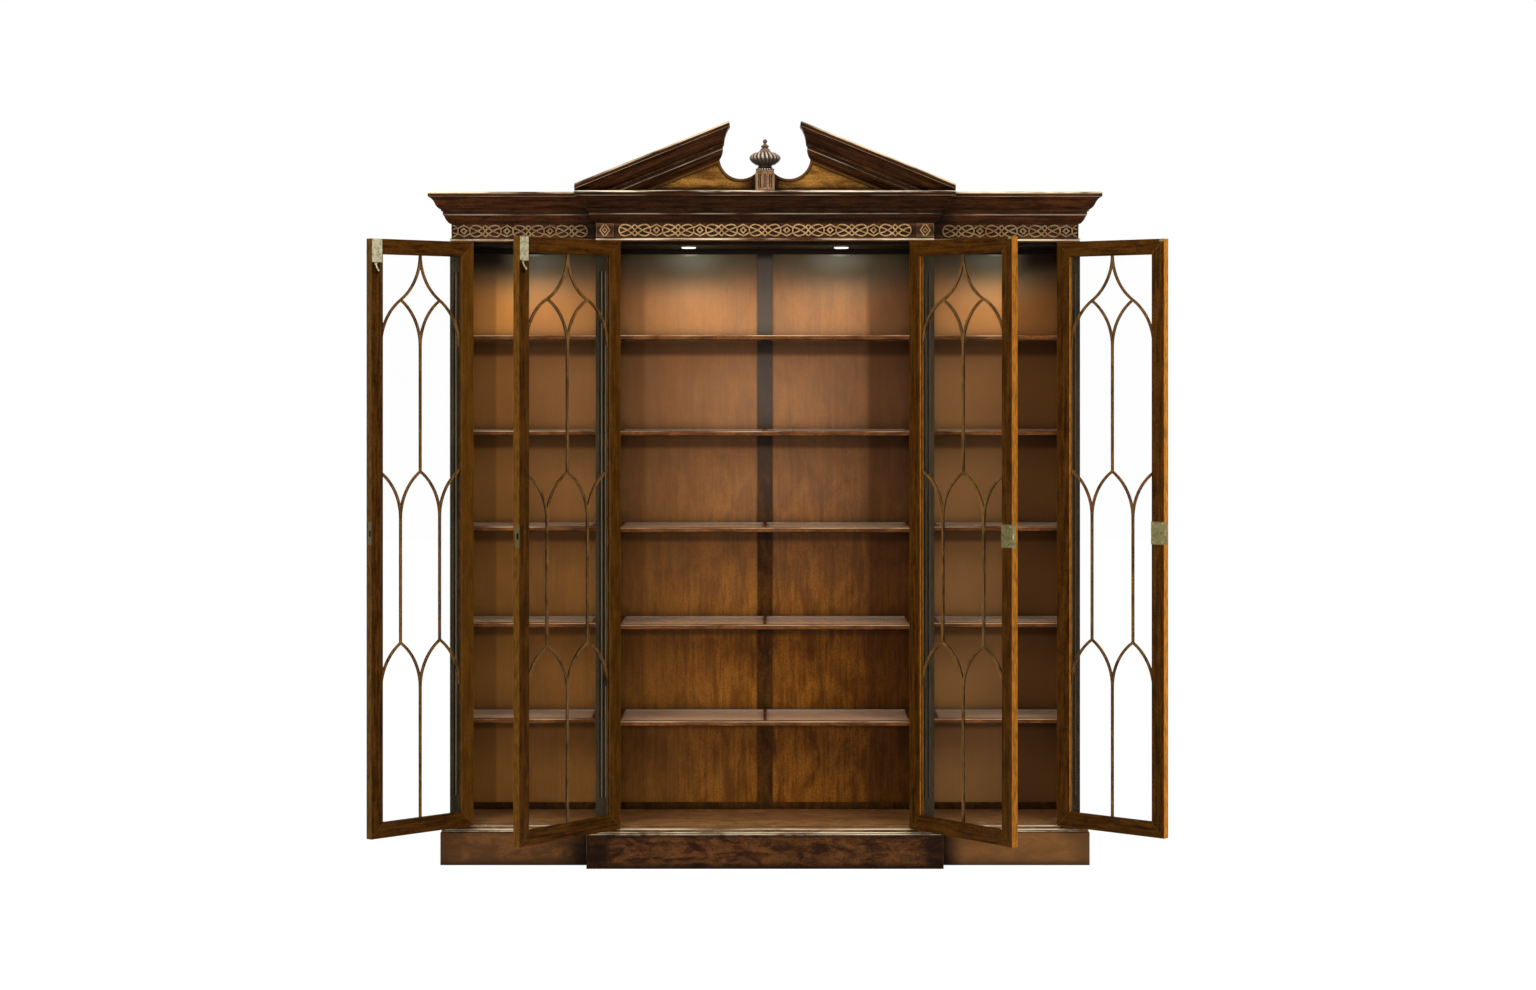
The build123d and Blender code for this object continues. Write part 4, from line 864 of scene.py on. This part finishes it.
# Colours of the painted light on the free edge of each door.
DOOR_EDGE = {"centre_left": (0.115, 0.046, 0.005), "wing_left": (0.095, 0.042, 0.006),
             "centre_right": (0.35, 0.125, 0.014), "wing_right": (0.56, 0.20, 0.018)}
HINGED_LIGHTER = {"centre_left": 0.08, "wing_left": 0.2, "centre_right": 0.0,
               "wing_right": 0.0}
DOOR_POLISH = {"streaks": 0.65, "figure": 16.0, "wear_and_sheen": (0.34, 0.165, 0.045),
               "wear_and_sheen_share": 0.55, "wax_and_shade": 0.6, "gloss": 0.025}


def lit_free_edge(door):
    """The free edge of a door gets painted light, the right-hand doors most.  The
    left-hand doors are lighter near their hinged edges."""
    def finish_tone(tree, place, tone):
        inward = door.direction(1, 0)
        along = math_node(tree, "SUBTRACT", dot(tree, place, inward), door.pin.dot(inward))
        hinged = smooth_step(tree, along, 0.075, 0.045)
        tone = overlay(tree, tone, hinged, HINGED_LIGHTER[door.name], (0.22, 0.085, 0.009))
        free_edge = facing(tree, inward, 0.8, 0.95)
        flecks = smooth_step(tree, noise(tree, squeezed(tree, place, "z", 5.0), 30.0,
                                         detail=5.0), 0.3, 0.7)
        colour = DOOR_EDGE[door.name]
        edge_tone = blend_colour(tree, flecks, scaled(colour, 0.55), scaled(colour, 1.3))
        return blend_colour(tree, free_edge, tone, edge_tone)
    return finish_tone


print("door tones set")

# %% Stiles and rails
for door in doors:
    stile_finish = wood(f"{door.name}_stile_mahogany", DOOR_DARK, DOOR_LIGHT, "z",
                        finish_tone=lit_free_edge(door), **DOOR_POLISH)
    wear(stile_finish, f"{door.name}_stiles")
    rail_finish = wood(f"{door.name}_rail_mahogany", DOOR_DARK, DOOR_LIGHT, "x",
                       turn=(0, 0, 1, door.hand * door.open_angle), **DOOR_POLISH)
    wear(rail_finish, f"{door.name}_rails")
print("stiles and rails done")

# %% Glazing bars
def shaded_sides(door):
    """A bar's two sides get painted shade, and its crest keeps the wood's tone."""
    def finish_tone(tree, place, tone):
        front = strongest(tree, facing(tree, door.direction(0, 1), 0.5, 0.85),
                          facing(tree, door.direction(0, -1), 0.5, 0.85))
        return overlay(tree, tone, inverse(tree, front), 0.95, (0.010, 0.0045, 0.0015))
    return finish_tone


for door in doors:
    bar_finish = wood(f"{door.name}_bar_mahogany", (0.070, 0.028, 0.0060),
                      (0.24, 0.105, 0.024), "z", wear_and_sheen=(0.62, 0.38, 0.15), wear_and_sheen_share=0.5,
                      gloss=0.05, wax_and_shade=0.0, finish_tone=shaded_sides(door))
    wear(bar_finish, f"{door.name}_glazing_bars")
print("four doors finished")

# %% [markdown]
# ## Glass
#
# Old sheet glass is almost clear.  A pane is so thin that what is seen through it
# hardly shifts, so its IOR is set close to 1, and a thin coat gives the doors their
# shine.  Alpha and transmission let the light pass without caustics.  The shelf panes
# are thicker: they need no shine, but a pale tint that the lamps light up, which is a
# painted reflection of the back panels, and a paler strip at the back, which is a
# painted highlight on their rear edge.

# %% Door panes and shelf panes
pane_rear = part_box("shelf_panes")[1].y
REAR_GLINT = (0.95, 0.90, 0.78)


def glass(name, tint, alpha, clear, bends, coat, glint_strip=None):
    """Sheet glass with the faintest waviness; glint_strip is the depth of a painted
    highlight at the back.
    """
    material, tree, principled = new_finish(name)
    place = place_at_rest(tree)
    if glint_strip is not None:
        start = pane_rear - glint_strip
        rear = smooth_step(tree, coordinates(tree, place)[1], start - 0.012, start)
        tint = blend_colour(tree, rear, tint, REAR_GLINT)
    waves = noise(tree, place, 5.0, detail=1.0)
    feed(tree, principled, {
        "Base Color": tint, "Roughness": 0.02, "IOR": bends, "Alpha": alpha,
        "Transmission Weight": clear, "Coat Weight": coat, "Coat Roughness": 0.02,
        "Normal": bump(tree, waves, 0.04, 0.001)})
    return material


door_glass = glass("door_glass", (0.50, 0.51, 0.49), 0.02, 1.0, 1.02, coat=0.5)
# The pale tint of the shelf panes is a painted reflection of the back panels.
shelf_glass = glass("shelf_glass", (0.92, 0.64, 0.42), 0.62, 0.15, 1.1, coat=0.0,
                    glint_strip=0.045)
wear(door_glass, *(f"{door.name}_glass" for door in doors))
wear(shelf_glass, "shelf_panes")
print("glass done")

# %% [markdown]
# ## Brass
#
# The hinges are plain yellow brass.  The lock and bolt plates are older castings:
# duller, greener and pitted, because hands leave salt on them.

# %% Brass finishes
def brass(name, bright, dull, rough, pitted, dull_below=0.0):
    """Brass that has tarnished in patches, and that is darker everywhere below a height."""
    material, tree, principled = new_finish(name)
    place = place_at_rest(tree)
    patches = noise(tree, place, 60.0, detail=6.0, roughness=0.7)
    grains = noise(tree, place, 420.0, detail=3.0, roughness=0.6)
    tarnish = smooth_step(tree, patches, 0.38, 0.66)
    tone = blend_colour(tree, tarnish, bright, dull)
    low = math_node(tree, "LESS_THAN", coordinates(tree, place)[2], dull_below)
    tone = blend_colour(tree, low, tone, (0.105, 0.088, 0.036))
    feed(tree, principled, {
        "Base Color": tone, "Metallic": 1.0,
        "Roughness": math_node(tree, "MULTIPLY_ADD", tarnish, 0.2, rough),
        "Normal": bump(tree, grains, pitted, 0.0004)})
    return material


hinge_brass = brass("hinge_brass", (0.66, 0.47, 0.21), (0.40, 0.27, 0.11), 0.3, 0.1)
plate_brass = brass("plate_brass", (0.27, 0.24, 0.105), (0.15, 0.135, 0.055), 0.42, 0.35)
bolt_brass = brass("bolt_plate_brass", (0.78, 0.72, 0.50), (0.34, 0.30, 0.16), 0.34, 0.7,
                   dull_below=1.7)
for door in doors:
    own = f"{door.name}_"
    if door.hand > 0:
        wear(bolt_brass, own + "bolt_plates", own + "flush_lever")
        wear(hinge_brass, own + "hinge_leaves", own + "flush_rod")
    else:
        wear(plate_brass, own + "lock_plates", own + "lock_turn")
        wear(hinge_brass, own + "hinge_leaves", own + "lock_bolt")
wear(hinge_brass, "hinge_frame_leaves", "shelf_brackets")
print("brass done")

# %% [markdown]
# ## The ceiling lamps
#
# Each lamp is a satin ring with a frosted lens.  The lens glows by itself, the ring's
# glow is painted light from the lens, and a small spot lamp under it throws the light
# that washes the back.

# %% Rings and lenses
def lamp_finish(name, metallic, rough, frosting, dark, light, glow_colour, glow):
    """A finely mottled finish that glows; frosting is its grains per metre."""
    material, tree, principled = new_finish(name)
    place = place_at_rest(tree)
    mottled = blend_colour(tree, noise(tree, place, frosting, detail=2.0), dark, light)
    feed(tree, principled, {
        "Base Color": mottled, "Metallic": metallic, "Roughness": rough,
        "Emission Color": glow_colour, "Emission Strength": glow})
    return material


# The ring's glow is painted light from the lens.
ring_with_painted_glow = lamp_finish("lamp_ring_metal", 1.0, 0.3, 300.0, (0.55, 0.55, 0.53),
                         (0.75, 0.75, 0.72), (0.95, 1.0, 0.86), 1.4)
lens_finish = lamp_finish("lamp_lens", 0.0, 0.5, 500.0, (0.93, 0.90, 0.80),
                          (1.0, 0.98, 0.92), (1.0, 0.97, 0.86), 5.0)
wear(ring_with_painted_glow, "lamp_rings")
wear(lens_finish, "lamp_lenses")
print("rings and lenses done")

# %% Spot lamps
lamp_watts = 6.5
lamp_beam = math.radians(150)
wing_setback = 0.081
centre_lamp = (centre_lamp_x, (face_y + back_low.y) / 2)
wing_lamp = (wing_lamp_x, (face_y + wing_setback + back_low.y) / 2)
for number, (x, y) in enumerate((centre_lamp, wing_lamp)):
    for side in (-1, 1):
        data = bpy.data.lights.new(f"spot_{number}_{side}", "SPOT")
        data.energy = lamp_watts
        data.color = (1.0, 0.93, 0.80)
        data.spot_size = lamp_beam
        data.spot_blend = 0.8
        data.shadow_soft_size = lens_radius
        spot = add_object(data.name, data)
        spot.location = (side * x, y, lamp_low.z - 0.004)
print("four lamps of", lamp_watts, "W")

# %% [markdown]
# ## The urn
#
# The urn is turned on a lathe and then carved: its bowl is gadrooned, which means
# it is cut into plump slanting lobes.  A lathe form is a profile turned about an
# axis, and the carving makes the radius swell and shrink as it goes round.  The
# lobes lean because their phase shifts with the height.

# %% Build the urn
URN_PROFILE = [
    # height over the pedestal, radius, depth of the lobes, all in millimetres
    (0.0, 31.5, 0.0), (1.6, 33.0, 1.0), (4.4, 33.6, 2.6), (7.4, 32.4, 1.0),
    (8.4, 27.4, 0.0), (11.0, 26.6, 0.0), (14.0, 24.2, 0.0), (17.0, 24.0, 0.0),
    (18.4, 26.0, 0.4), (21.0, 33.0, 1.6), (25.0, 40.0, 2.6), (30.0, 46.6, 3.4),
    (36.0, 51.8, 3.9), (42.0, 55.0, 4.2), (46.0, 55.8, 4.2), (50.0, 54.6, 4.0),
    (54.0, 51.4, 3.4), (58.0, 46.6, 2.4), (61.0, 42.0, 1.2), (62.6, 40.0, 0.2),
    (63.6, 37.0, 0.0), (64.6, 30.0, 0.0), (66.6, 24.6, 0.0), (69.0, 21.0, 0.0),
    (73.0, 18.0, 0.0), (78.0, 14.4, 0.0), (82.0, 10.6, 0.0), (83.4, 10.2, 0.0),
    (84.4, 14.2, 0.0), (87.0, 15.0, 0.0), (89.4, 12.8, 0.0), (91.6, 8.6, 0.0),
    (94.6, 5.6, 0.0), (97.6, 4.8, 0.0), (99.4, 5.8, 0.0), (102.0, 7.8, 0.0),
    (105.6, 8.2, 0.0), (109.0, 6.6, 0.0), (111.2, 3.4, 0.0), (112.0, 0.6, 0.0)]
smooth_shade, stem_shade = 0.42, 0.62
stem_foot, stem_top = 8.0, 18.0
belly_height = 45.0
lobe_count = 22
lobe_lean = 3.12
lobe_sharpness = 1.6
points_round = lobe_count * 10


def gadrooned_urn():
    """Rings of points whose radius follows the profile and the lobes.  The attribute
    wax says how deep each point lies in a groove; the stem gets a high value,
    for painted shade."""
    low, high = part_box("urn")
    axis = (low + high) / 2
    mesh = bmesh.new()
    rings, wax = [], []
    for height, radius, lobes in URN_PROFILE:
        ring = []
        for index in range(points_round):
            angle = 2 * math.pi * index / points_round
            lean = lobe_lean * (height - belly_height) / belly_height
            groove = 1.0 - abs(math.cos((lobe_count * angle + lean) / 2))
            reach = (radius - lobes * groove ** lobe_sharpness) / 1000
            plain = stem_shade if stem_foot < height < stem_top else smooth_shade
            wax.append(groove if lobes else plain)
            ring.append(mesh.verts.new((axis.x + reach * math.cos(angle),
                                        axis.y + reach * math.sin(angle),
                                        low.z + height / 1000)))
        rings.append(ring)
    for lower, upper in zip(rings, rings[1:]):
        for index in range(points_round):
            after = (index + 1) % points_round
            mesh.faces.new((lower[index], lower[after], upper[after], upper[index]))
    mesh.faces.new(list(reversed(rings[0])))
    mesh.faces.new(rings[-1])
    data = bpy.data.meshes.new("urn_carved")
    mesh.to_mesh(data)
    mesh.free()
    data.shade_smooth()
    data.attributes.new("wax", "FLOAT", "POINT").data.foreach_set("value", wax)
    return add_object("urn_carved", data)


urn = gadrooned_urn()
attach(urn, "carcass")
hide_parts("urn")
print("urn with", lobe_count, "lobes")

# %% The urn's finish
def urn_light_and_shade(tree, place, tone):
    """Painted shade in the grooves, on the stem and under the bowl, and painted
    highlights on the crests of the lobes.
    """
    wax = shader(tree, "ShaderNodeAttribute", attribute_name="wax").outputs["Fac"]
    crest = smooth_step(tree, wax, 0.30, 0.04)
    tone = overlay(tree, tone, crest, 0.8, (0.66, 0.48, 0.34))
    groove = smooth_step(tree, wax, 0.43, 0.58)
    tone = blend_colour(tree, groove, tone, (0.004, 0.0020, 0.0012))
    below = facing(tree, (0, 0, -1), 0.0, 0.6)
    return overlay(tree, tone, below, 0.92, (0.010, 0.005, 0.003))


urn_wood = wood("urn_mahogany", (0.060, 0.030, 0.015), (0.25, 0.145, 0.085), "z",
                finish_tone=urn_light_and_shade, wax_and_shade=0.9, wax_and_shade_reach=0.012, gloss=0.3)
urn.data.materials.append(urn_wood)
print("urn finished")

# %% [markdown]
# ## Screws
#
# A countersunk screw shows as a low dome with a slot.  The slot is made by leaving a
# gap between two half domes.  All the screws of one body are one mesh, which keeps
# the scene light, and each is turned a little further than the one before it.

# %% Screw heads
# as shares of the screw's radius
SLOT_HALF, RIM_LENGTH, CROWN_REACH, CROWN_RISE = 0.13, 0.98, 0.72, 0.22
rim_steps = 10
slot_step = 1.1


def add_screw(mesh, centre, outward, radius, slot_turn):
    """Two half domes with a slot between them, standing on a surface."""
    outward = outward.normalized()
    side = outward.orthogonal().normalized()
    side.rotate(Matrix.Rotation(slot_turn, 3, outward))
    up = outward.cross(side)
    slot = radius * SLOT_HALF
    for half_side in (-1, 1):
        rim, crown = [], []
        for step in range(rim_steps + 1):
            angle = math.pi * step / rim_steps
            past_slot = math.sin(angle) * (radius - slot)
            along = math.cos(angle) * radius * RIM_LENGTH
            rim.append(mesh.verts.new(
                centre + side * along + up * half_side * (slot + past_slot)))
            crown.append(mesh.verts.new(
                centre + side * along * CROWN_REACH
                + up * half_side * (slot + past_slot * CROWN_REACH)
                + outward * radius * CROWN_RISE))
        for step in range(rim_steps):
            mesh.faces.new((rim[step], rim[step + 1], crown[step + 1], crown[step]))
        mesh.faces.new(crown)
        mesh.faces.new((rim[0], crown[0], crown[-1], rim[-1]))


def screws(name, body, spots, finish):
    """One mesh of screws that rides on a body; spots are centre, normal and radius."""
    mesh = bmesh.new()
    for number, (centre, outward, radius) in enumerate(spots):
        add_screw(mesh, centre, outward, radius, number * slot_step)
    bmesh.ops.recalc_face_normals(mesh, faces=mesh.faces)
    data = bpy.data.meshes.new(name)
    mesh.to_mesh(data)
    mesh.free()
    piece = add_object(name, data)
    data.materials.append(finish)
    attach(piece, body)


print("screw maker ready")

# %% Screws of the plates and hinges
door_foot, door_top = 0.141, 2.228
lock_height = 1.203
hinge_from_end = 0.190
hinge_heights = (door_foot + hinge_from_end, (door_foot + door_top) / 2,
                 door_top - hinge_from_end)
hinge_leaf_depth = 0.018
plate_screw, hinge_screw = 0.003, 0.0024
widths = {"centre": 0.535, "wing": 0.458}
# how far from the free edge, and at which heights
BOLT_SCREWS = (0.041, 0.011), (door_top - 0.008, door_top - 0.072)
LOCK_SCREWS = (0.047, 0.007), (lock_height - 0.032, lock_height + 0.032)
carcass_spots = []
for door in doors:
    width = widths[door.name.split("_")[0]]
    insets, heights = BOLT_SCREWS if door.hand > 0 else LOCK_SCREWS
    spots = [(door.point(width - inset, door_thickness, height), door.direction(0, 1),
              plate_screw) for inset in insets for height in heights]
    for height in hinge_heights:
        for rise in (-0.026, 0.0, 0.026):
            inset = hinge_leaf_depth * (0.42 if rise else 0.68)
            spots.append((door.point(0.00005, inset, height + rise),
                          door.direction(-1, 0), hinge_screw))
            wall_x = door.pin.x - door.hand * door_gap / 2
            spot = Vector((wall_x, door.pin.y + pin_to_face + inset, height + rise))
            carcass_spots.append((spot, Vector((door.hand, 0, 0)), hinge_screw))
    screws(f"{door.name}_screws", door.body, spots, hinge_brass)
screws("pilaster_hinge_screws", "carcass", carcass_spots, hinge_brass)
print(len(carcass_spots), "screws in the pilasters")
